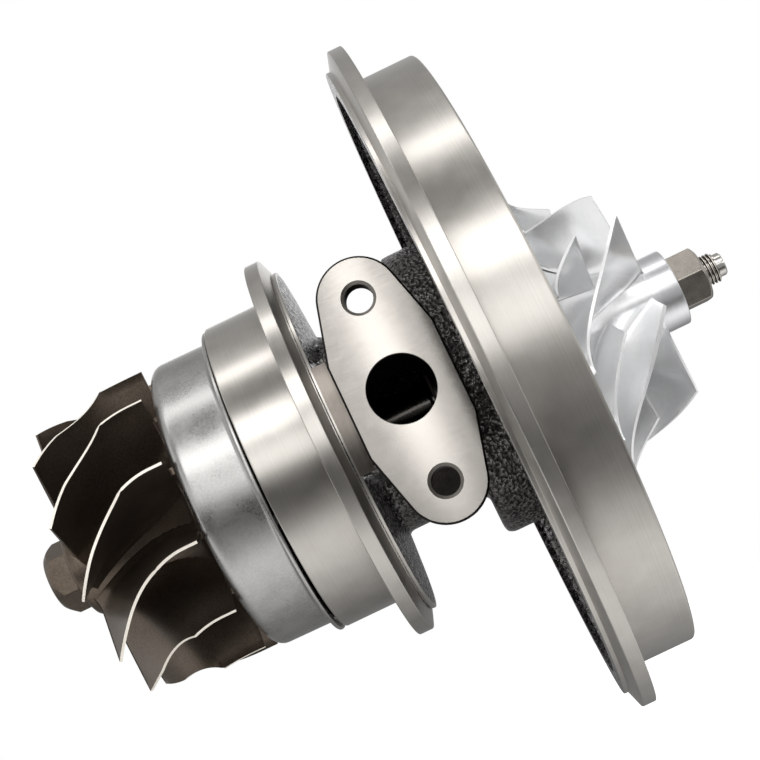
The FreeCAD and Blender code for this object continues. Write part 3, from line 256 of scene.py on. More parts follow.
def offAxis(point):
    # the point's distance from the shaft's axis
    return hypot(point.y, point.z)


def paint(mesh, index, isPainted):
    # gives the faces whose centre, in mm, passes the test another of the mesh's materials
    for polygon in mesh.polygons:
        if isPainted(polygon.center / mm):
            polygon.material_index = index


def pourInto(bm, part):
    # adds the bmesh part to bm and frees it
    mesh = bareMesh(part, "part")
    bm.from_mesh(mesh)
    bpy.data.meshes.remove(mesh)


def weightNormals(piece):
    modifier = piece.modifiers.new("flat faces stay flat", "WEIGHTED_NORMAL")
    modifier.keep_sharp = True


def roundEdges(piece, width, segments, angle):
    modifier = piece.modifiers.new("edges", "BEVEL")
    modifier.width = width * mm
    modifier.segments = segments
    modifier.limit_method = "ANGLE"
    modifier.angle_limit = radians(angle)


def closeUp(bm):
    bmesh.ops.remove_doubles(bm, verts=bm.verts, dist=2e-6)
    bmesh.ops.dissolve_degenerate(bm, edges=bm.edges, dist=1e-6)
    bmesh.ops.recalc_face_normals(bm, faces=bm.faces)


def spinRound(bm, geom, axis, steps, angle=2 * pi, advance=0.0):
    # about a line through the origin, moving advance on along X at every step; a whole turn is
    # joined to its start
    bmesh.ops.spin(bm, geom=geom, cent=(0, 0, 0), axis=axis, dvec=(advance, 0, 0), angle=angle,
                   steps=steps, use_merge=angle == 2 * pi, use_duplicate=False)


def bevel(bm, geom, width, segments, affect="EDGES", material=-1, clamp=False):
    bmesh.ops.bevel(bm, geom=geom, offset=width * mm, offset_type="OFFSET", segments=segments,
                    profile=0.5, affect=affect, material=material, clamp_overlap=clamp)


def raiseFace(bm, face, shift):
    # makes a slab of a flat face
    grown = bmesh.ops.extrude_face_region(bm, geom=[face])
    moved = [v for v in grown["geom"] if isinstance(v, bmesh.types.BMVert)]
    bmesh.ops.translate(bm, verts=moved, vec=shift)
    bmesh.ops.recalc_face_normals(bm, faces=bm.faces)


def turnOutline(bm, corners, steps):
    # a closed outline of (x, radius, rounding) corners, turned about the shaft
    outline = bmesh.new()
    made = [outline.verts.new((x * mm, 0, radius * mm)) for x, radius, *_ in corners]
    outline.faces.new(made)
    for rounding in sorted({c[2] for c in corners if len(c) == 3}):
        picked = [v for v, c in zip(made, corners) if len(c) == 3 and c[2] == rounding]
        bevel(outline, picked, rounding, 3 + int(rounding), "VERTICES")
    whole = max(outline.faces, key=lambda f: len(f.verts))
    line = list(whole.verts) + list(whole.edges)
    bmesh.ops.delete(outline, geom=list(outline.faces), context="FACES_ONLY")
    spinRound(outline, line, (1, 0, 0), steps)
    closeUp(outline)
    pourInto(bm, outline)


def turnedFlange(name, materials, corners, steps):
    bm = bmesh.new()
    turnOutline(bm, corners, steps)
    piece = addPiece(name, bm, "housing", "cast_iron_housing", materials)
    weightNormals(piece)
    return piece


def applyModifiers(piece):
    graph = bpy.context.evaluated_depsgraph_get()
    mesh = bpy.data.meshes.new_from_object(piece.evaluated_get(graph))
    old = piece.data
    piece.modifiers.clear()
    piece.data = mesh
    bpy.data.meshes.remove(old)


def carve(piece, bm, operation="DIFFERENCE"):
    # cuts the bmesh out of the piece, or keeps only what they share
    tool = newObject("tool", bareMesh(bm, "tool"))
    modifier = piece.modifiers.new("carve", "BOOLEAN")
    modifier.operation = operation
    modifier.object = tool
    modifier.solver = "EXACT"
    applyModifiers(piece)
    bpy.data.objects.remove(tool)


def drill(bm, x, z, steps, segments=64):
    # a drill's shape: (y, radius) steps turned about the line along Y through x and z
    tool = bmesh.new()
    corners = [(steps[0][0], 0)] + list(steps) + [(steps[-1][0], 0)]
    made = [tool.verts.new((radius * mm, y * mm, 0)) for y, radius in corners]
    rim = [tool.edges.new(pair) for pair in zip(made, made[1:])]
    spinRound(tool, made + rim, (0, 1, 0), segments)
    closeUp(tool)
    bmesh.ops.translate(tool, verts=tool.verts, vec=(x * mm, 0, z * mm))
    pourInto(bm, tool)


def drillPad(bm, d, hole, bolt, segments=64):
    # a pad's oil hole and its two bolt holes
    drill(bm, drainPad["centre"], 0, hole, segments)
    for side in (1, -1):
        drill(bm, drainPad["centre"], side * d["spacing"] / 2, bolt)


drainPad = {
    "centre": 27.3,
    "face": -57.0,
    "thickness": 7.3,
    "halfWidth": 15.65,
    "halfStraight": 13.5,
    "endRadius": 11.6,
    "spacing": 54.2,
    "holeRadius": 9.525,
    "holeEnd": -12,
    "boltRadius": 3.95,
    "boltOverrun": 6,
    "chamfer": 0.9,
    "skin": 1.2,
    "castEdge": 0.6,
    "edgeRound": 0.14,
}

drainBoss = {
    "xFrom": 7.7,
    "xTo": 40.3,
    "halfWidth": 17.5,
    "corner": 4.0,
    "face": -55.7,
    "root": -20.0,
}

inletPad = {
    "face": 42.0,
    "root": 20.0,
    "halfWidth": 11.5,
    "halfStraight": 6.0,
    "endRadius": 7.8,
    "spacing": 31.0,
    "holeRadius": 5.0,
    "holeDepth": 12.0,
    "boltRadius": 3.4,
    "boltDepth": 14.0,
    "chamfer": 0.3,
    "skin": 1.2,
    "castEdge": 0.4,
    "edgeRound": 0.14,
}


def padOutline(d, inset=0.0, arcSteps=24):
    # straight sides that taper to a round end about each bolt
    centre = drainPad["centre"]
    halfWidth = d["halfWidth"] - inset
    endRadius = d["endRadius"] - inset
    half = d["spacing"] / 2
    run = half - d["halfStraight"]
    slope = atan2(run, halfWidth)
    start = acos(endRadius / hypot(run, halfWidth)) - slope
    points = []
    for side in (1, -1):
        points.append((centre + side * halfWidth, side * d["halfStraight"]))
        for i in range(arcSteps + 1):
            angle = start + (pi - 2 * start) * i / arcSteps
            points.append((centre + side * endRadius * cos(angle),
                           side * (half + endRadius * sin(angle))))
        points.append((centre - side * halfWidth, side * d["halfStraight"]))
    return points


def bossOutline(d, arcSteps=6):
    # a rectangle with round corners in x and z
    corner = d["corner"]
    right, left = d["xTo"] - corner, d["xFrom"] + corner
    top, bottom = d["halfWidth"] - corner, -d["halfWidth"] + corner
    points = []
    for x, z, first in ((right, top, 0), (left, top, 90), (left, bottom, 180),
                        (right, bottom, 270)):
        for i in range(arcSteps + 1):
            angle = radians(first + 90 / arcSteps * i)
            points.append((x + corner * cos(angle), z + corner * sin(angle)))
    return points


def raiseOutline(bm, points, yFrom, yTo):
    # a slab between yFrom and yTo over an outline of (x, z) points
    face = bm.faces.new([bm.verts.new((x * mm, yFrom * mm, z * mm)) for x, z in points])
    raiseFace(bm, face, (0, (yTo - yFrom) * mm, 0))


def isInHole(centre, d, grow):
    # whether a point, in mm, is in the pad's oil hole or in one of its bolt holes
    offset = centre.x - drainPad["centre"]
    toBolt = hypot(offset, abs(centre.z) - d["spacing"] / 2)
    return toBolt < d["boltRadius"] + grow or hypot(offset, centre.z) < d["holeRadius"] + grow


turbineFlange = {
    "registerRadius": 49.1,
    "registerWall": 4.9,
    "registerChamfer": 0.5,
    "pocketFloor": -10.2,
    "flangeRadius": 60.6,
    "flangeWidth": 4.3,
    "flankEnd": 6.1,
    "flankFoot": 55.7,
    "grooveEnd": 6.7,
    "grooveRadius": 54.1,
    "rimRadius": 55.3,
    "rimEnd": 7.7,
    "edgeRound": 0.35,
    "hiddenStart": 5.2,
    "hiddenRadius": 53.3,
}


def buildTurbineFlange(d):
    edge = d["edgeRound"]
    front = shieldHigh.x
    inner = d["registerRadius"] - d["registerWall"]
    turnedFlange("turbineFlange", [turnedIron], [
        (d["pocketFloor"], inner),
        (front, inner, 0.3),
        (front, d["registerRadius"], d["registerChamfer"]),
        (0.0, d["registerRadius"]),
        (0.0, d["flangeRadius"], edge),
        (d["flangeWidth"], d["flangeRadius"], edge),
        (d["flankEnd"], d["flankFoot"], 0.15),
        (d["flankEnd"], d["grooveRadius"]),
        (d["grooveEnd"], d["grooveRadius"]),
        (d["grooveEnd"], d["rimRadius"], 0.15),
        (d["rimEnd"], d["rimRadius"], 0.25),
        (d["rimEnd"], d["hiddenRadius"] + 0.8),
        (d["hiddenStart"], d["hiddenRadius"]),
        (d["hiddenStart"], inner),
    ], 256)


buildTurbineFlange(turbineFlange)

casting = {
    "discStart": 7.7,
    "discRadius": 55.0,
    "discEnd": 9.5,
    "barrelRadius": 32.0,
    "fillet": 1.2,
    "filletLean": 0.3,
    "blockStart": 36.05,
    "blockRadius": 45.3,
    "blockRound": 2.6,
    "dishFloor": 54.25,
    "dishRadius": 93.8,
    "dishDraft": 3.0,
    "hiddenStart": 5.5,
    "hiddenRim": 48.0,
    "hiddenShoulder": 60.0,
    "hiddenEnd": 66.0,
    "padInset": 0.15,
    "padSink": 0.35,
    "cavityStart": 3.6,
    "cavityEnd": 34.0,
    "cavityRadius": 22.0,
    "voxel": 1.08,
    "smoothing": 2,
    "holeShadeReach": 2.5,
}

castSkin = {
    "lump": 2.2,
    "grain": 1.1,
    "grainShare": 0.6,
    "relief": 1.0,
    "pit": 1.3,
    "pitStretch": 2.0,
    "pitEdge": (0.45, 0.51),
    "discFade": (0.9, 0.4),
    "rimFade": (-1.5, -0.5),
    "rimCleaned": 0.5,
}


def sandCast(d, skin):
    # the casting's skin is charcoal and grainy, with grains that glint; the disc behind the
    # turbine flange and the back of the compressor rim are bare grey iron with black pits
    material, tree, shader = newMaterial("sandCastIron", 0.75)
    place = objectPlace(tree)
    lumps, grains = [addNode(tree, "TexNoise", {"Vector": place, "Scale": 1 / (size * mm),
                                                "Detail": 1.0, "Roughness": 0.5})
                     for size in (skin["lump"], skin["grain"])]
    both = addNode(tree, "Mix", {0: skin["grainShare"], 2: lumps, 3: grains})
    charcoal = finishFrom(tree, shader, both, "#272524", "#6a6764", 0.32, 0.2, 0.38, 0.64)
    drawn = addNode(tree, "VectorMath", {0: place, 1: (1, 1 / skin["pitStretch"], 1)},
                    operation="MULTIPLY")
    specks = addNode(tree, "TexNoise", {"Vector": drawn, "Scale": 1 / (skin["pit"] * mm),
                                        "Detail": 2.0})
    pits = addNode(tree, "MapRange", {0: specks, 1: skin["pitEdge"][0], 2: skin["pitEdge"][1]})
    bare = addNode(tree, "Mix", {0: pits, 6: linearColour("#252323"), 7: linearColour("#b0aeae")},
                   data_type="RGBA")
    split = addNode(tree, "SeparateXYZ", {0: place})
    disc = addNode(tree, "MapRange", {0: split.outputs[0],
                                      1: (d["discEnd"] + skin["discFade"][0]) * mm,
                                      2: (d["discEnd"] + skin["discFade"][1]) * mm})
    rim = addNode(tree, "MapRange", {0: offShaft(tree, place), 4: skin["rimCleaned"],
                                     1: (d["dishRadius"] + skin["rimFade"][0]) * mm,
                                     2: (d["dishRadius"] + skin["rimFade"][1]) * mm})
    cleaned = addNode(tree, "Math", {0: disc, 1: rim}, operation="MAXIMUM")
    colour = addNode(tree, "Mix", {0: cleaned, 6: charcoal, 7: bare.outputs[2]}, data_type="RGBA")
    bump = addNode(tree, "Bump", {"Height": both, "Distance": skin["relief"] * mm, "Strength": 1.0})
    setInputs(tree, shader, {"Base Color": colour.outputs[2], "Normal": bump})
    return material


castIron = sandCast(casting, castSkin)

compressorFlange = {
    "backRim": 46.25,
    "backRimInner": 93.8,
    "backRimRadius": 100.8,
    "turnedEdge": 0.6,
    "flankStart": 47.55,
    "flangeBack": 49.3,
    "flangeRadius": 106.2,
    "drumBack": 53.5,
    "drumRadius": 95.0,
    "drumRound": 0.9,
    "pocketDepth": 2.0,
    "pocketRadius": 52.0,
    "plateStep": 37.2,
    "hiddenDepth": 4,
    "edgeRound": 0.35,
}


def buildCompressorFlange(d):
    edge = d["edgeRound"]
    front = housingHigh.x
    pocket = front - d["pocketDepth"]
    piece = turnedFlange("compressorFlange", [turnedIron, castIron], [
        (d["backRim"], d["backRimInner"]),
        (d["backRim"], d["backRimRadius"], 0.25),
        (d["flankStart"], d["backRimRadius"], 0.1),
        (d["flangeBack"], d["flangeRadius"], edge),
        (d["drumBack"], d["flangeRadius"], edge),
        (d["drumBack"], d["drumRadius"]),
        (front, d["drumRadius"], d["drumRound"]),
        (front, d["pocketRadius"], 0.15),
        (pocket, d["pocketRadius"]),
        (pocket, d["plateStep"]),
        (pocket - d["hiddenDepth"], d["plateStep"]),
        (pocket - d["hiddenDepth"], d["backRimInner"] - 3),
        (d["backRim"] + 2, d["backRimInner"] + 1),
    ], 320)
    # the rim's back is left as cast inside its turned edge
    edgeInner = d["backRimRadius"] - d["turnedEdge"]
    paint(piece.data, 1, lambda c: c.x < d["backRim"] + 3 and offAxis(c) < edgeInner)


buildCompressorFlange(compressorFlange)
print("flanges made")


def buildCasting(d):
    fillet = d["fillet"]
    lean = fillet * d["filletLean"]
    barrel, block, dish = d["barrelRadius"], d["blockRadius"], d["dishRadius"]
    bm = bmesh.new()
    turnOutline(bm, [
        (d["hiddenStart"], 0.0),
        (d["hiddenStart"], d["discRadius"] - 1.5),
        (d["discStart"], d["discRadius"]),
        (d["discEnd"], barrel + fillet),
        (d["discEnd"] + lean, barrel + lean),
        (d["discEnd"] + fillet, barrel),
        (d["blockStart"] - fillet, barrel),
        (d["blockStart"] - lean, barrel + lean),
        (d["blockStart"], barrel + fillet),
        (d["blockStart"], block, d["blockRound"]),
        (d["dishFloor"] - fillet, block),
        (d["dishFloor"] - lean, block + lean),
        (d["dishFloor"], block + fillet),
        (d["dishFloor"], dish - d["dishDraft"]),
        (d["hiddenRim"], dish - 0.4),
        (d["hiddenRim"], dish + 3),
        (d["hiddenShoulder"], dish - 2),
        (d["hiddenEnd"], dish - 6),
        (d["hiddenEnd"], 0.0),
    ], 128)
    pad = drainPad
    inlet = inletPad
    raiseOutline(bm, bossOutline(drainBoss), drainBoss["root"], drainBoss["face"])
    raiseOutline(bm, padOutline(pad, d["padInset"]), pad["face"] + pad["thickness"],
                 pad["face"] + d["padSink"])
    raiseOutline(bm, padOutline(inlet, d["padInset"]), inlet["root"], inlet["face"] - d["padSink"])
    core = addPiece("castCore", bm, "housing", "cast_iron_housing", [castIron, holeShadeIron])
    remesh = core.modifiers.new("one casting", "REMESH")
    remesh.mode = "VOXEL"
    remesh.voxel_size = d["voxel"] * mm
    remesh.use_smooth_shade = True
    smooth = core.modifiers.new("cast fillets", "SMOOTH")
    smooth.factor = 0.5
    smooth.iterations = d["smoothing"]
    applyModifiers(core)
    # each hole is a little larger than the one in the pad's skin
    outside = pad["face"] - 5
    holeRadius = pad["holeRadius"] + 0.25
    sinkRadius = pad["boltRadius"] + pad["chamfer"] + 0.2
    sinkEnd = pad["face"] + pad["chamfer"] + 0.1
    holes = bmesh.new()
    drillPad(holes, pad, [(outside, holeRadius), (pad["holeEnd"], holeRadius)], [
        (outside, sinkRadius),
        (sinkEnd, sinkRadius),
        (sinkEnd, pad["boltRadius"]),
        (pad["face"] + pad["thickness"] + pad["boltOverrun"], pad["boltRadius"]),
    ])
    face = inlet["face"]
    drillPad(holes, inlet, [(face + 5, inlet["holeRadius"]),
                            (face - inlet["holeDepth"], inlet["holeRadius"])], [
        (face + 5, inlet["boltRadius"] + 0.5),
        (face - 0.5, inlet["boltRadius"] + 0.5),
        (face - 0.5, inlet["boltRadius"]),
        (face - inlet["boltDepth"], inlet["boltRadius"]),
    ])
    carve(core, holes)
    cavity = bmesh.new()
    turnOutline(cavity, [(d["cavityStart"], 0.0), (d["cavityStart"], d["cavityRadius"]),
                         (d["cavityEnd"], d["cavityRadius"]), (d["cavityEnd"], 0.0)], 64)
    carve(core, cavity)
    # the lathe that cut the turbine rim also took the boss down to that radius
    rim = turbineFlange["rimRadius"] - 0.3
    bandEnd = pad["centre"] - pad["halfWidth"]
    bandStart = 5.0
    beyond = 70.0
    band = bmesh.new()
    turnOutline(band, [(bandStart, rim), (bandEnd, rim), (bandEnd, beyond), (bandStart, beyond)],
                192)
    carve(core, band)
    # the casting's faces in and near the holes get the painted shade of the hole walls
    paint(core.data, 1, lambda c: isInHole(c, pad if c.y < 0 else inlet, d["holeShadeReach"]))
    smoothMesh(core.data, 50)
    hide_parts("bearing_housing")
    return core


castCore = buildCasting(casting)
print("casting made:", len(castCore.data.polygons), "faces")

turnedBand = {
    "endLeft": 1.4,
    "tuck": 0.4,
    "overlap": 0.3,
    "thickness": 1,
    "steps": 48,
}


def buildBand(d):
    # the strip of the boss that the lathe turned
    rim = turbineFlange["rimRadius"]
    half = asin((drainBoss["halfWidth"] - d["endLeft"]) / rim)
    xFrom = turbineFlange["rimEnd"] - d["tuck"]
    xTo = drainPad["centre"] - drainPad["halfWidth"] + d["overlap"]
    inner = rim - d["thickness"]
    bm = bmesh.new()
    made = [bm.verts.new((x * mm, -radius * mm * cos(half), -radius * mm * sin(half)))
            for x, radius in ((xFrom, inner), (xFrom, rim), (xTo, rim), (xTo, inner))]
    spinRound(bm, [bm.faces.new(made)], (-1, 0, 0), d["steps"], 2 * half)
    closeUp(bm)
    weightNormals(addPiece("turnedBand", bm, "housing", "cast_iron_housing", [darkerTurnedIron]))


buildBand(turnedBand)

grinding = {
    "mark": 0.5,
    "markStretch": 12.5,
    "markHeight": 0.003,
    "markStrength": 0.08,
    "stain": 5,
    "stainShare": 0.6,
    "anisotropy": 0.7,
    "crownRadius": 200.0,
}


def groundFace(d):
    # surface-ground iron of the pads: marks run across the pad, which linishing left crowned
    # along its middle, so that its sheen draws out into one long band
    material, tree, shader = newMaterial("groundIronPad", 1.0)
    place = objectPlace(tree)
    drawn = addNode(tree, "VectorMath", {0: place, 1: (1 / d["markStretch"], 1, 1)},
                    operation="MULTIPLY")
    marks = addNode(tree, "TexNoise", {"Vector": drawn, "Scale": 1 / (d["mark"] * mm),
                                       "Detail": 2.0})
    stains = addNode(tree, "TexNoise", {"Vector": place, "Scale": 1 / (d["stain"] * mm),
                                        "Detail": 4.0})
    both = addNode(tree, "Mix", {0: d["stainShare"], 2: marks, 3: stains})
    finishFrom(tree, shader, both, "#9c9893", "#aaa6a0", 0.22, 0.27)
    across = addNode(tree, "VectorTransform", {0: (0, 0, 1)}, **toWorld)
    split = addNode(tree, "SeparateXYZ", {0: place})
    offset = addNode(tree, "Math", {0: split.outputs[0], 1: drainPad["centre"] * mm},
                     operation="SUBTRACT")
    square = addNode(tree, "Math", {0: offset, 1: offset}, operation="MULTIPLY")
    sag = addNode(tree, "Math", {0: square, 1: -0.5 / (d["crownRadius"] * mm)},
                  operation="MULTIPLY")
    crown = addNode(tree, "Bump", {"Height": sag, "Distance": 1.0, "Strength": 1.0})
    bump = addNode(tree, "Bump", {"Height": marks, "Distance": d["markHeight"] * mm,
                                  "Strength": d["markStrength"], "Normal": crown})
    setInputs(tree, shader, {"Tangent": across, "Anisotropic": d["anisotropy"], "Normal": bump})
    return material


groundIron = groundFace(grinding)


def buildPadSkin(name, d, outward):
    # the ground face of a pad, with its hole and its countersunk bolt holes
    face = d["face"]
    outside = face + outward * 5
    beyond = face - outward * 5
    bm = bmesh.new()
    raiseOutline(bm, padOutline(d), face - outward * d["skin"], face)
    rim = [e for e in bm.edges if all(abs(v.co.y - face * mm) < 1e-6 for v in e.verts)]
    bevel(bm, rim, d["castEdge"], 3, material=2)
    piece = addPiece(name, bm, "housing", "cast_iron_housing",
                     [groundIron, countersinkShadeIron, padEdgeIron])
    holes = bmesh.new()
    drillPad(holes, d, [(outside, d["holeRadius"]), (beyond, d["holeRadius"])], [
        (outside, d["boltRadius"] + d["chamfer"] + 0.001),
        (face, d["boltRadius"] + d["chamfer"]),
        (face - outward * d["chamfer"], d["boltRadius"]),
        (beyond, d["boltRadius"]),
    ], 96)
    carve(piece, holes)
    # only the face is ground: the holes are drilled and painted darker as the shade in them, and
    # the side and its round edge are as cast
    for polygon in piece.data.polygons:
        if abs(polygon.normal.y) < 0.9:
            inHole = isInHole(polygon.center / mm, d, d["chamfer"])
            polygon.material_index = 1 if inHole else 2
    roundEdges(piece, d["edgeRound"], 2, 50)
    smoothMesh(piece.data, 40)
    weightNormals(piece)


buildPadSkin("drainPadFace", drainPad, -1)
buildPadSkin("inletPadFace", inletPad, 1)
print("pads made")

heatShield = {
    "radius": 45.7,
    "sheet": 1.2,
    "corner": 3.9,
    "brimBend": 1.5,
    "brimRound": 0.5,
    "holeRadius": 15.0,
    "holeRound": 0.3,
    "lean": 0.6,
    "drop": 0.5,
}


def buildShield(d):
    # nothing clamps the shield until a turbine housing is fitted, so it hangs a little low and
    # leans off the register at the bottom
    front = shieldLow.x
    seat = shieldHigh.x
    brim = shieldHigh.z
    sheet = d["sheet"]
    bm = bmesh.new()
    turnOutline(bm, [
        (front, d["holeRadius"], d["holeRound"]),
        (front, d["radius"], d["corner"]),
        (seat - sheet, d["radius"], d["brimBend"]),
        (seat - sheet, brim, d["brimRound"]),
        (seat, brim, d["brimRound"]),
        (seat, d["radius"] - sheet, d["brimBend"] + sheet),
        (front + sheet, d["radius"] - sheet, d["corner"] - sheet),
        (front + sheet, d["holeRadius"], d["holeRound"]),
    ], 256)
    hinge = Vector((seat, 0, brim)) * mm
    bmesh.ops.rotate(bm, verts=bm.verts, cent=hinge,
                     matrix=Matrix.Rotation(radians(d["lean"]), 3, "Y"))
    bmesh.ops.translate(bm, verts=bm.verts, vec=(0, 0, -d["drop"] * mm))
    weightNormals(addPiece("heatShieldPressing", bm, "housing", "stainless_sheet",
                           [stainlessSheet], replaced=["heat_shield"]))


buildShield(heatShield)
print("heat shield made")


def polar(x, radius, angle):
    # a point at this angle round the shaft
    turn = radians(angle)
    return Vector((x, -radius * cos(turn), radius * sin(turn)))


def bladeSlab(bm, lengthSteps, heightSteps, place, halfThickness, edgeMaterial):
    # a slab of small faces bent onto a blade whose middle surface is place(along, up); its rows
    # crowd towards the root
    bmesh.ops.create_grid(bm, x_segments=lengthSteps, y_segments=heightSteps, size=0.5)
    bmesh.ops.solidify(bm, geom=list(bm.faces), thickness=1.0)
    middle = sum(v.co.z for v in bm.verts) / len(bm.verts)
    rims = [f for f in bm.faces if abs(f.calc_center_median().z - middle) < 0.25]
    for face in rims:
        if face.calc_center_median().y > 0.49:
            face.material_index = edgeMaterial
    rimEdges = [e for f in rims for e in f.edges
                if sum(1 for other in e.link_faces if other in rims) == 1]
    crowding = 1.6
    step = 0.004
    bladeRound = 0.12
    for vert in bm.verts:
        along = min(max(vert.co.x + 0.5, 0.0), 1.0)
        up = min(max(vert.co.y + 0.5, 0.0), 1.0) ** crowding
        side = 1 if vert.co.z > middle else -1
        point = place(along, up)
        lengthways = place(min(along + step, 1), up) - place(max(along - step, 0), up)
        upwards = place(along, min(up + step, 1)) - place(along, max(up - step, 0))
        across = lengthways.cross(upwards).normalized()
        vert.co = (point + across * side * halfThickness(along, up)) * mm
    bevel(bm, list(set(rimEdges)), bladeRound, 2, clamp=True)


def copiesRound(bm, blade, count, firstAngle):
    # adds the blade to bm at every equal step round the shaft and frees it
    for i in range(count):
        copy = blade.copy()
        turn = Matrix.Rotation(-radians(firstAngle + 360 * i / count), 4, "X")
        bmesh.ops.transform(copy, matrix=turn, verts=copy.verts)
        pourInto(bm, copy)
    blade.free()


def hexagonPiece(name, material, slot, flats, cornerAngle, turned, edge, **extra):
    # a hexagon bar along the shaft, kept only where the turned outline has metal
    low = min(x for x, *_ in turned)
    high = max(x for x, *_ in turned)
    spare = 4
    corner = flats / sqrt(3) * mm
    bm = bmesh.new()
    bmesh.ops.create_cone(bm, cap_ends=True, segments=6, radius1=corner, radius2=corner,
                          depth=(high - low + spare) * mm)
    place = (Matrix.Translation(((low + high) / 2 * mm, 0, 0))
             @ Matrix.Rotation(-radians(cornerAngle), 4, "X")
             @ Matrix.Rotation(pi / 2, 4, "Y"))
    bmesh.ops.transform(bm, matrix=place, verts=bm.verts)
    piece = addPiece(name, bm, "rotor", slot, [material], 30, **extra)
    keep = bmesh.new()
    turnOutline(keep, turned, 120)
    carve(piece, keep, "INTERSECT")
    roundEdges(piece, edge, 3, 25)
    smoothMesh(piece.data, 30)
    weightNormals(piece)


turbineWheel = {
    "blades": 12,
    "tipRadius": 46.2,
    "inletWidth": 13.8,
    "throatRadius": 42.75,
    "exitRadius": 42.9,
    "exitLand": 7.4,
    "bladeLength": 35.8,
    "exitSweep": 3.6,
    "spigot": 4.2,
    "spigotRadius": 13.5,
    "backStep": 1.1,
    "backRadius": 38.0,
    "backThickness": 1.6,
    "backRound": 0.3,
    "hubRadius": 15.3,
    "hubEndRadius": 14.5,
    "hubEndRound": 1.4,
    "hubLength": 44.3,
    "bowlLength": 23.4,
    "bowlRadius": 29.25,
    "bossStart": 2,
    "bossLength": 8.6,
    "bossFlats": 19.4,
    "bossAngle": 30,
    "bossDrop": 3.0,
    "bossChamfer": 1.3,
    "bossRound": 3.4,
    "wrap": 32.2,
    "curving": 2.1,
    "straight": 3.7,
    "halfTip": 0.3,
    "halfRoot": 0.95,
    "filletFlare": 1.9,
    "filletReach": 1.5,
    "firstBlade": 15.0,
    "scallopFloor": 30.5,
    "scallopRadius": 9.0,
    "scallopSteps": 36,
}


def arcThrough(a, b, c):
    # the radius at x on the circle through three (x, radius) points
    (x1, y1), (x2, y2), (x3, y3) = a, b, c
    d = 2 * (x1 * (y2 - y3) + x2 * (y3 - y1) + x3 * (y1 - y2))
    s1, s2, s3 = x1 * x1 + y1 * y1, x2 * x2 + y2 * y2, x3 * x3 + y3 * y3
    cx = (s1 * (y2 - y3) + s2 * (y3 - y1) + s3 * (y1 - y2)) / d
    cy = (s1 * (x3 - x2) + s2 * (x1 - x3) + s3 * (x2 - x1)) / d
    radius = hypot(x1 - cx, y1 - cy)
    return lambda x: cy - sqrt(max(radius * radius - (x - cx) ** 2, 0))


def scallopedPlate(d, back):
    # the wheel's back plate, cut away between the blades
    plate = bmesh.new()
    pitch = 360 / d["blades"]
    centre = d["scallopFloor"] + d["scallopRadius"]
    rim = []
    for i in range(d["blades"] * d["scallopSteps"]):
        angle = i * pitch / d["scallopSteps"]
        offset = radians((angle + pitch / 2) % pitch - pitch / 2)
        radius = d["backRadius"]
        inside = d["scallopRadius"] ** 2 - (centre * sin(offset)) ** 2
        if inside > 0:
            radius = min(radius, centre * cos(offset) - sqrt(inside))
        rim.append(plate.verts.new(polar(back, radius, angle) * mm))
    raiseFace(plate, plate.faces.new(rim), (-d["backThickness"] * mm, 0, 0))
    flats = [f for f in plate.faces if len(f.verts) > 8]
    bevel(plate, list({e for f in flats for e in f.edges}), d["backRound"], 2, clamp=True)
    return plate


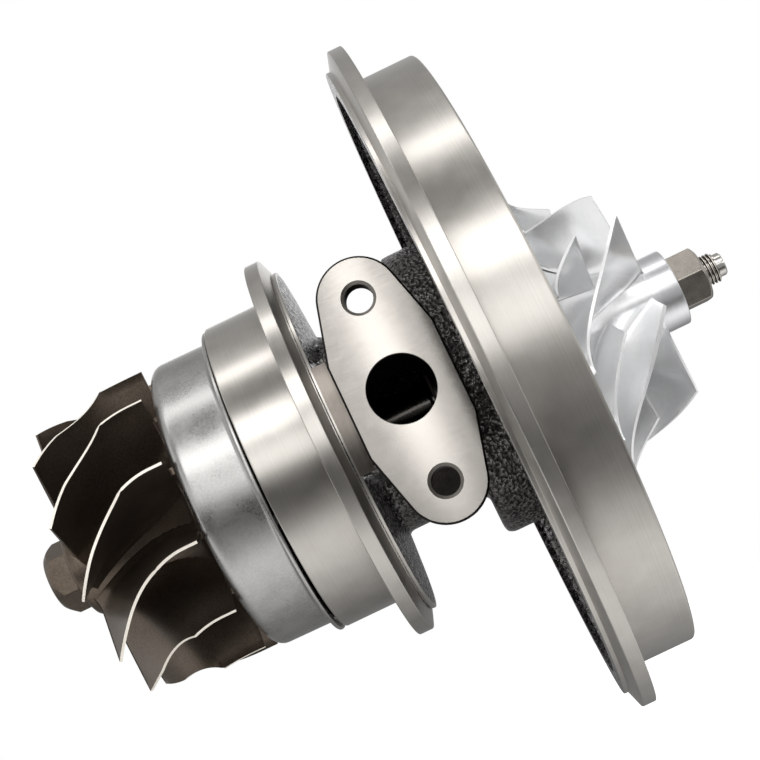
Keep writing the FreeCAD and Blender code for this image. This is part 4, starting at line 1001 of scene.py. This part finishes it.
def buildTurbineWheel(d):
    back = turbineHigh.x - d["spigot"]
    front = back - d["hubLength"]
    bladeBack = back - d["backStep"]
    exitX = bladeBack - d["bladeLength"]
    inletEnd = bladeBack - d["inletWidth"]
    landStart = exitX + d["exitLand"]
    shroud = arcThrough((inletEnd, d["tipRadius"]), ((inletEnd + landStart) / 2, d["throatRadius"]),
                        (landStart, d["exitRadius"]))
    bowlStart = back - d["backThickness"] - d["bowlLength"]

    def outerRadius(x):
        if x > inletEnd:
            return d["tipRadius"]
        return shroud(x) if x > landStart else d["exitRadius"]

    def hubRadiusAt(x):
        run = max(x - bowlStart, 0)
        return d["hubRadius"] + d["bowlRadius"] - sqrt(d["bowlRadius"] ** 2 - run * run)

    def camber(x):
        travelled = max(bladeBack - d["straight"] - x, 0) / (d["bladeLength"] - d["straight"])
        return -d["wrap"] * travelled ** d["curving"]

    def place(along, up):
        # from inside the hub to where the blade meets the shroud, found in a few steps
        tipX = bladeBack - d["bladeLength"] * along
        rootX = bladeBack - (d["bladeLength"] + d["exitSweep"]) * along
        root = polar(rootX, d["hubRadius"] - 2, camber(rootX))
        tip = polar(tipX, d["tipRadius"] + 1, camber(tipX))
        reach = 1.0
        for _ in range(4):
            end = root.lerp(tip, reach)
            over = offAxis(end) - outerRadius(end.x)
            reach -= over / (d["tipRadius"] + 3 - d["hubRadius"])
        return root.lerp(tip, reach * up)

    def half(along, up):
        point = place(along, up)
        height = max(offAxis(point) - hubRadiusAt(point.x), 0)
        return (d["halfRoot"] + (d["halfTip"] - d["halfRoot"]) * up
                + d["filletFlare"] * exp(-height / d["filletReach"]))

    blade = bmesh.new()
    bladeSlab(blade, 42, 18, place, half, 1)
    bm = bmesh.new()
    copiesRound(bm, blade, d["blades"], d["firstBlade"])
    bladeFace = back - d["backThickness"]
    plateInner = d["scallopFloor"] - 0.8
    corners = [(front, 0), (front, d["hubEndRadius"], d["hubEndRound"]),
               (exitX - d["exitSweep"], d["hubRadius"]), (bowlStart, d["hubRadius"])]
    for i in range(1, 16):
        x = bowlStart + d["bowlLength"] * i / 16
        corners.append((x, hubRadiusAt(x)))
    corners += [(bladeFace, plateInner), (back, plateInner), (back, d["spigotRadius"]),
                (turbineHigh.x, d["spigotRadius"]), (turbineHigh.x, 0)]
    turnOutline(bm, corners, 144)
    pourInto(bm, scallopedPlate(d, back))
    addPiece("turbineWheelCasting", bm, "rotor", "cast_superalloy", [castSuperalloy, groundEdgeAndHighlight],
             40, replaced=["turbine_wheel"])
    # hexagon boss, turned round at its end
    corner = d["bossFlats"] / sqrt(3)
    bossEnd = front - d["bossLength"]
    hexagonPiece("turbineBoss", castSuperalloy, "cast_superalloy", d["bossFlats"], d["bossAngle"], [
        (front + d["bossStart"], 0),
        (front + d["bossStart"], d["bossFlats"]),
        (bossEnd + d["bossRound"], corner),
        (bossEnd + d["bossChamfer"], corner - d["bossDrop"] + d["bossChamfer"]),
        (bossEnd, corner - d["bossDrop"], 0.5),
        (bossEnd, 0),
    ], 0.5)


buildTurbineWheel(turbineWheel)
print("turbine wheel made")

compressorWheel = {
    "blades": 7,
    "tipRadius": 51.0,
    "eyeRadius": 35.6,
    "exitWidth": 4.6,
    "shroudPower": 2.25,
    "disc": 1.5,
    "hubRadius": 12.4,
    "hubSteps": 27,
    "noseRadius": 11.9,
    "noseRound": 0.5,
    "noseLength": 8.4,
    "eyeSetback": 1.4,
    "wrap": 59.0,
    "wrapBias": 1.2,
    "halfTip": 0.325,
    "halfRoot": 0.85,
    "filletFlare": 1.1,
    "filletFade": 14,
    "rootSink": 0.6,
    "splitterStart": 0.30,
    "firstBlade": 90.0,
    "boreRadius": 4.77,
    "boreRound": 0.3,
}


def buildCompressorWheel(d):
    back = wheelLow.x
    front = wheelHigh.x
    hubOut = back + d["disc"]
    hubIn = front - d["noseLength"]

    def line(t, xIn, xOut, rIn, rOut, power):
        # a quarter of an ellipse from the axial inlet to the radial outlet
        quarter = t * pi / 2
        return (xIn + (xOut - xIn) * sin(quarter) ** (2 / power),
                rIn + (rOut - rIn) * (1 - max(cos(quarter), 0) ** (2 / power)))

    def hubLine(t):
        return line(t, hubIn, hubOut, d["hubRadius"], d["tipRadius"], 2)

    def shroudLine(t):
        return line(t, hubIn - d["eyeSetback"], hubOut + d["exitWidth"], d["eyeRadius"],
                    d["tipRadius"], d["shroudPower"])

    def placeFrom(start):
        def place(along, up):
            t = start + (1 - start) * along
            angle = -d["wrap"] * t * (1 + d["wrapBias"]) / (1 + d["wrapBias"] * t)
            hx, hr = hubLine(t)
            sx, sr = shroudLine(t)
            sink = Vector((sx - hx, sr - hr)).normalized() * d["rootSink"]
            return polar(hx - sink.x, hr - sink.y, angle).lerp(polar(sx, sr, angle), up)
        return place

    def half(along, up):
        return (d["halfRoot"] + (d["halfTip"] - d["halfRoot"]) * up
                + d["filletFlare"] * exp(-up * d["filletFade"]))

    bm = bmesh.new()
    for start, first in ((0.0, d["firstBlade"]),
                         (d["splitterStart"], d["firstBlade"] + 180 / d["blades"])):
        blade = bmesh.new()
        bladeSlab(blade, 42, 16, placeFrom(start), half, 2)
        copiesRound(bm, blade, d["blades"], first)
    corners = [(back, d["boreRadius"]), (front, d["boreRadius"], d["boreRound"]),
               (front, d["noseRadius"], d["noseRound"]), (hubIn, d["noseRadius"])]
    corners += [hubLine(i / d["hubSteps"]) for i in range(d["hubSteps"] + 1)]
    corners.append((back, d["tipRadius"]))
    turnOutline(bm, corners, 192)
    piece = addPiece("compressorWheelMilled", bm, "rotor", "machined_aluminium",
                     [milledAluminium, turnedAluminium, milledEdgeHighlight], 40,
                     replaced=["compressor_wheel"])
    paint(piece.data, 1, lambda c: c.x > hubIn)


buildCompressorWheel(compressorWheel)
print("compressor wheel made")

shaftEnd = {
    "nutFlats": 16.0,
    "nutCorner": -1.0,
    "nutLonger": 1.4,
    "nutBore": 4.77,
    "nutChamfer": 1.3,
    "nutChamferReach": 1.8,
    "nutSeatChamfer": 0.4,
    "nutEdge": 0.25,
    "threadPitch": 1.06,
    "threadRoot": 4.0,
    "threadCrest": 4.72,
    "crestFrom": 0.36,
    "crestTo": 0.60,
    "ridgeEnd": 0.96,
    "threadLength": 4.8,
    "threadOverlap": 0.3,
    "runOut": 0.1,
    "stepsPerTurn": 40,
}


def buildNut(d):
    corner = d["nutFlats"] / sqrt(3)
    end = nutHigh.x + d["nutLonger"]
    reach = corner - d["nutChamferReach"]
    hexagonPiece("compressorNutSteel", nutSteel, "nut_steel", d["nutFlats"], d["nutCorner"], [
        (nutLow.x, d["nutBore"]),
        (nutLow.x, reach),
        (nutLow.x + d["nutSeatChamfer"], corner + 0.1),
        (end - d["nutChamfer"], corner + 0.1),
        (end, reach),
        (end, d["nutBore"]),
    ], d["nutEdge"], replaced=["compressor_nut"])


def buildThread(d):
    # one ridge wound round the shaft's end
    pitch = d["threadPitch"]
    start = nutHigh.x + d["nutLonger"] - d["threadOverlap"]
    sunk = d["threadRoot"] - 0.3
    turns = int(d["threadLength"] / pitch) - d["runOut"]
    bm = bmesh.new()
    made = [bm.verts.new((x * mm, 0, radius * mm)) for x, radius in (
        (start, sunk),
        (start, d["threadRoot"]),
        (start + pitch * d["crestFrom"], d["threadCrest"]),
        (start + pitch * d["crestTo"], d["threadCrest"]),
        (start + pitch * d["ridgeEnd"], d["threadRoot"]),
        (start + pitch * d["ridgeEnd"], sunk),
    )]
    spinRound(bm, [bm.faces.new(made)], (1, 0, 0), int(d["stepsPerTurn"] * turns),
              2 * pi * turns, pitch / d["stepsPerTurn"] * mm)
    closeUp(bm)
    piece = addPiece("shaftThread", bm, "rotor", "machined_steel", [threadGrooveShade, threadCrest], 30)
    # the crests get the bright steel; the rest of the thread keeps the painted shade of the grooves
    paint(piece.data, 1, lambda c: offAxis(c) > d["threadCrest"] - 0.1)


buildNut(shaftEnd)
buildThread(shaftEnd)
print("nut and thread made")

# these pieces keep their CAD meshes
finishes = (
    (shadedShaftSteel, ("rotor_shaft", "thrust_collar", "thrust_washer", "thrust_bearing_pins",
                  "oil_slinger", "oil_seal_plate")),
    (stainlessSheet, ("oil_baffle",)),
    (bearingBronze, ("thrust_bearing", "journal_bearing_turbine", "journal_bearing_compressor")),
    (springSteel, ("turbine_seal_ring", "compressor_seal_ring", "seal_plate_snap_ring",
                   *("bearing_snap_ring_%d" % i for i in (1, 2, 3, 4)))),
    (sealRubber, ("seal_plate_o_ring",)),
)

for material, names in finishes:
    for name in names:
        nodes[name].data.materials.clear()
        nodes[name].data.materials.append(material)
# the shaft keeps the painted shade of the housing's inside, and its end beyond the nut gets its own
# bright steel
shaft = nodes["rotor_shaft"].data
shaft.materials.append(shaftTip)
paint(shaft, 1, lambda c: c.x > nutHigh.x)
print("finishes given")

cameraPlace = {
    "location": (0.0347, -0.4849, -0.0586),
    "aim": (0.02156, 0.0, 0.01299),
    "roll": 25.47,
    "focal": 77.13,
}


def buildCamera(d):
    data = bpy.data.cameras.new("camera")
    data.sensor_width = 36
    data.lens = d["focal"]
    data.clip_start = 0.01
    data.clip_end = 20
    camera = newObject("camera", data)
    location = Vector(d["location"])
    look = (Vector(d["aim"]) - location).to_track_quat("-Z", "Y").to_matrix().to_4x4()
    camera.matrix_world = (Matrix.Translation(location) @ look
                           @ Matrix.Rotation(-radians(d["roll"]), 4, "Z"))
    bpy.context.scene.camera = camera


buildCamera(cameraPlace)

# Places and sizes are in metres, and strength 1 is white.  Two softboxes hang over the camera.
# Roof and ground are panels bent round the shaft that only reflections see.  Each has its
# brightness at some angles above the horizon in front; the camera's dark side is just below 0.
# Towards the compressor's end these angles sink, by the whole of lowered where x is loweredAt.
studio = {
    "floor": -0.30,
    "floorSide": 8.0,
    "floorColour": "#f4f4f4",
    "worldOnObject": 0.7,
    "floorGlow": 0.62,
    "softboxDistance": 0.80,
    "softboxWidth": 1.1,
    "softboxes": {
        "front": {"heading": 0, "height": 31, "depth": 0.25, "watts": 2.3},
        "top": {"heading": 0, "height": 75, "depth": 0.14, "watts": 1.3},
        "back": {"heading": 180, "height": 18, "depth": 0.30, "watts": 0.7},
    },
    "full": 2.0,
    "halfLength": 1.3,
    "loweredAt": 0.16,
    "roof": {
        "radius": 0.90,
        "lowered": 0,
        "levels": ((-3, 0.5), (3, 1.6), (11, 1.6), (16, 0.8), (42, 0.5), (57, 0.33), (85, 0.8),
                   (105, 0.5), (130, 0.42), (150, 0.6), (180, 0.3)),
    },
    "ground": {
        "radius": 0.28,
        "lowered": 33,
        "levels": ((-180, 0.3), (-134, 0.2), (-105, 0.38), (-77, 0.85), (-67, 1.1), (-50, 1.2),
                   (-40, 0.65), (-30, 0.22), (-21, 0.05), (-11, 0.04), (-3, 0.45)),
    },
    "frontCard": {"size": (0.085, 0.22), "middle": (0.017, -0.65, 0.08), "tilt": 90,
                  "strength": 4.5},
}


def addSoftbox(name, d):
    # aimed at the object: heading is counted from -Y towards +X
    data = bpy.data.lights.new(name, "AREA")
    data.shape = "RECTANGLE"
    data.size = studio["softboxWidth"]
    data.size_y = d["depth"]
    data.energy = d["watts"]
    lamp = newObject(name, data)
    turn = radians(d["heading"])
    rise = radians(d["height"])
    lamp.location = Vector((sin(turn) * cos(rise), -cos(turn) * cos(rise),
                            sin(rise))) * studio["softboxDistance"]
    lamp.rotation_euler = (-lamp.location).to_track_quat("-Z", "Y").to_euler()
    lamp.visible_camera = False


def glowingMaterial(name, strength):
    material, tree, shader = newMaterial(name, 0.0)
    setInputs(tree, shader, {"Base Color": black, "Specular IOR Level": 0,
                             "Emission Color": white, "Emission Strength": strength})
    return material, tree, shader


def stageObject(name, bm, material):
    made = newObject(name, smoothMesh(bareMesh(bm, name)))
    made.data.materials.append(material)
    return made


def flatSquare(name, place, material):
    # a square of side 1, placed by the matrix
    bm = bmesh.new()
    bmesh.ops.create_grid(bm, x_segments=1, y_segments=1, size=0.5)
    bmesh.ops.transform(bm, matrix=place, verts=bm.verts)
    return stageObject(name, bm, material)


def onlyReflected(panel):
    panel.visible_camera = False
    panel.visible_diffuse = False
    panel.visible_shadow = False
    panel.visible_transmission = False


def addCard(name, d):
    place = (Matrix.Translation(d["middle"]) @ Matrix.Rotation(radians(d["tilt"]), 4, "X")
             @ Matrix.Diagonal((*d["size"], 1, 1)))
    onlyReflected(flatSquare(name, place, glowingMaterial(name, d["strength"])[0]))


def addArc(name, d):
    # panels bent round the shaft from the first level's angle to the last one's
    first, last = d["levels"][0][0], d["levels"][-1][0]
    half = studio["halfLength"]
    bm = bmesh.new()
    ends = [bm.verts.new(polar(x, d["radius"], first)) for x in (-half, half)]
    spinRound(bm, ends + [bm.edges.new(ends)], (-1, 0, 0), 48, radians(last - first))
    material, tree, shader = glowingMaterial(name, studio["full"])
    x, y, z = addNode(tree, "SeparateXYZ", {0: objectPlace(tree)}).outputs
    forward = addNode(tree, "Math", {0: y, 1: -1.0}, operation="MULTIPLY")
    height = addNode(tree, "Math", {0: z, 1: forward}, operation="ARCTAN2")
    lowered = addNode(tree, "MapRange", {0: x, 1: 0.0, 2: studio["loweredAt"], 3: 0.0,
                                         4: radians(d["lowered"])})
    levelAngle = addNode(tree, "Math", {0: lowered, 1: height})
    along = addNode(tree, "MapRange", {0: levelAngle, 1: radians(first), 2: radians(last)})
    ramp = addNode(tree, "ValToRGB", {0: along})
    stops = ramp.color_ramp.elements
    while len(stops) < len(d["levels"]):
        stops.new(0.5)
    for stop, (angle, level) in zip(stops, d["levels"]):
        stop.position = (angle - first) / (last - first)
        stop.color = [level / studio["full"]] * 3 + [1.0]
    setInputs(tree, shader, {"Emission Color": ramp})
    onlyReflected(stageObject(name, bm, material))


def seenAsBackground(tree):
    # 1 for camera, mirror and glass rays, 0 for the light that falls on the object
    rays = addNode(tree, "LightPath").outputs
    mirror = addNode(tree, "Math", {0: rays["Is Glossy Ray"], 1: rays["Is Transmission Ray"]},
                     operation="MAXIMUM")
    return addNode(tree, "Math", {0: rays["Is Camera Ray"], 1: mirror}, operation="MAXIMUM")


def buildFloor(d):
    material, tree, shader = newMaterial("paleFloor", 0.0)
    glow = addNode(tree, "Math", {0: seenAsBackground(tree), 1: d["floorGlow"]},
                   operation="MULTIPLY")
    setInputs(tree, shader, {"Base Color": linearColour(d["floorColour"]), "Roughness": 0.9,
                             "Emission Color": white, "Emission Strength": glow})
    side = d["floorSide"]
    place = Matrix.Translation((0, 0, d["floor"])) @ Matrix.Diagonal((side, side, 1, 1))
    flatSquare("floor", place, material)


def buildStage(d):
    world = bpy.data.worlds.new("studio")
    bpy.context.scene.world = world
    world.use_nodes = True
    tree = world.node_tree
    tree.nodes.clear()
    level = addNode(tree, "MapRange", {0: seenAsBackground(tree), 3: d["worldOnObject"], 4: 1.0})
    back = addNode(tree, "Background", {0: white, 1: level})
    addNode(tree, "OutputWorld", {0: back})
    buildFloor(d)
    for name, softbox in d["softboxes"].items():
        addSoftbox(name, softbox)
    addArc("roof", d["roof"])
    addArc("ground", d["ground"])
    addCard("frontCard", d["frontCard"])
    bpy.context.scene.view_settings.view_transform = "Standard"


buildStage(studio)
print("stage and camera made")
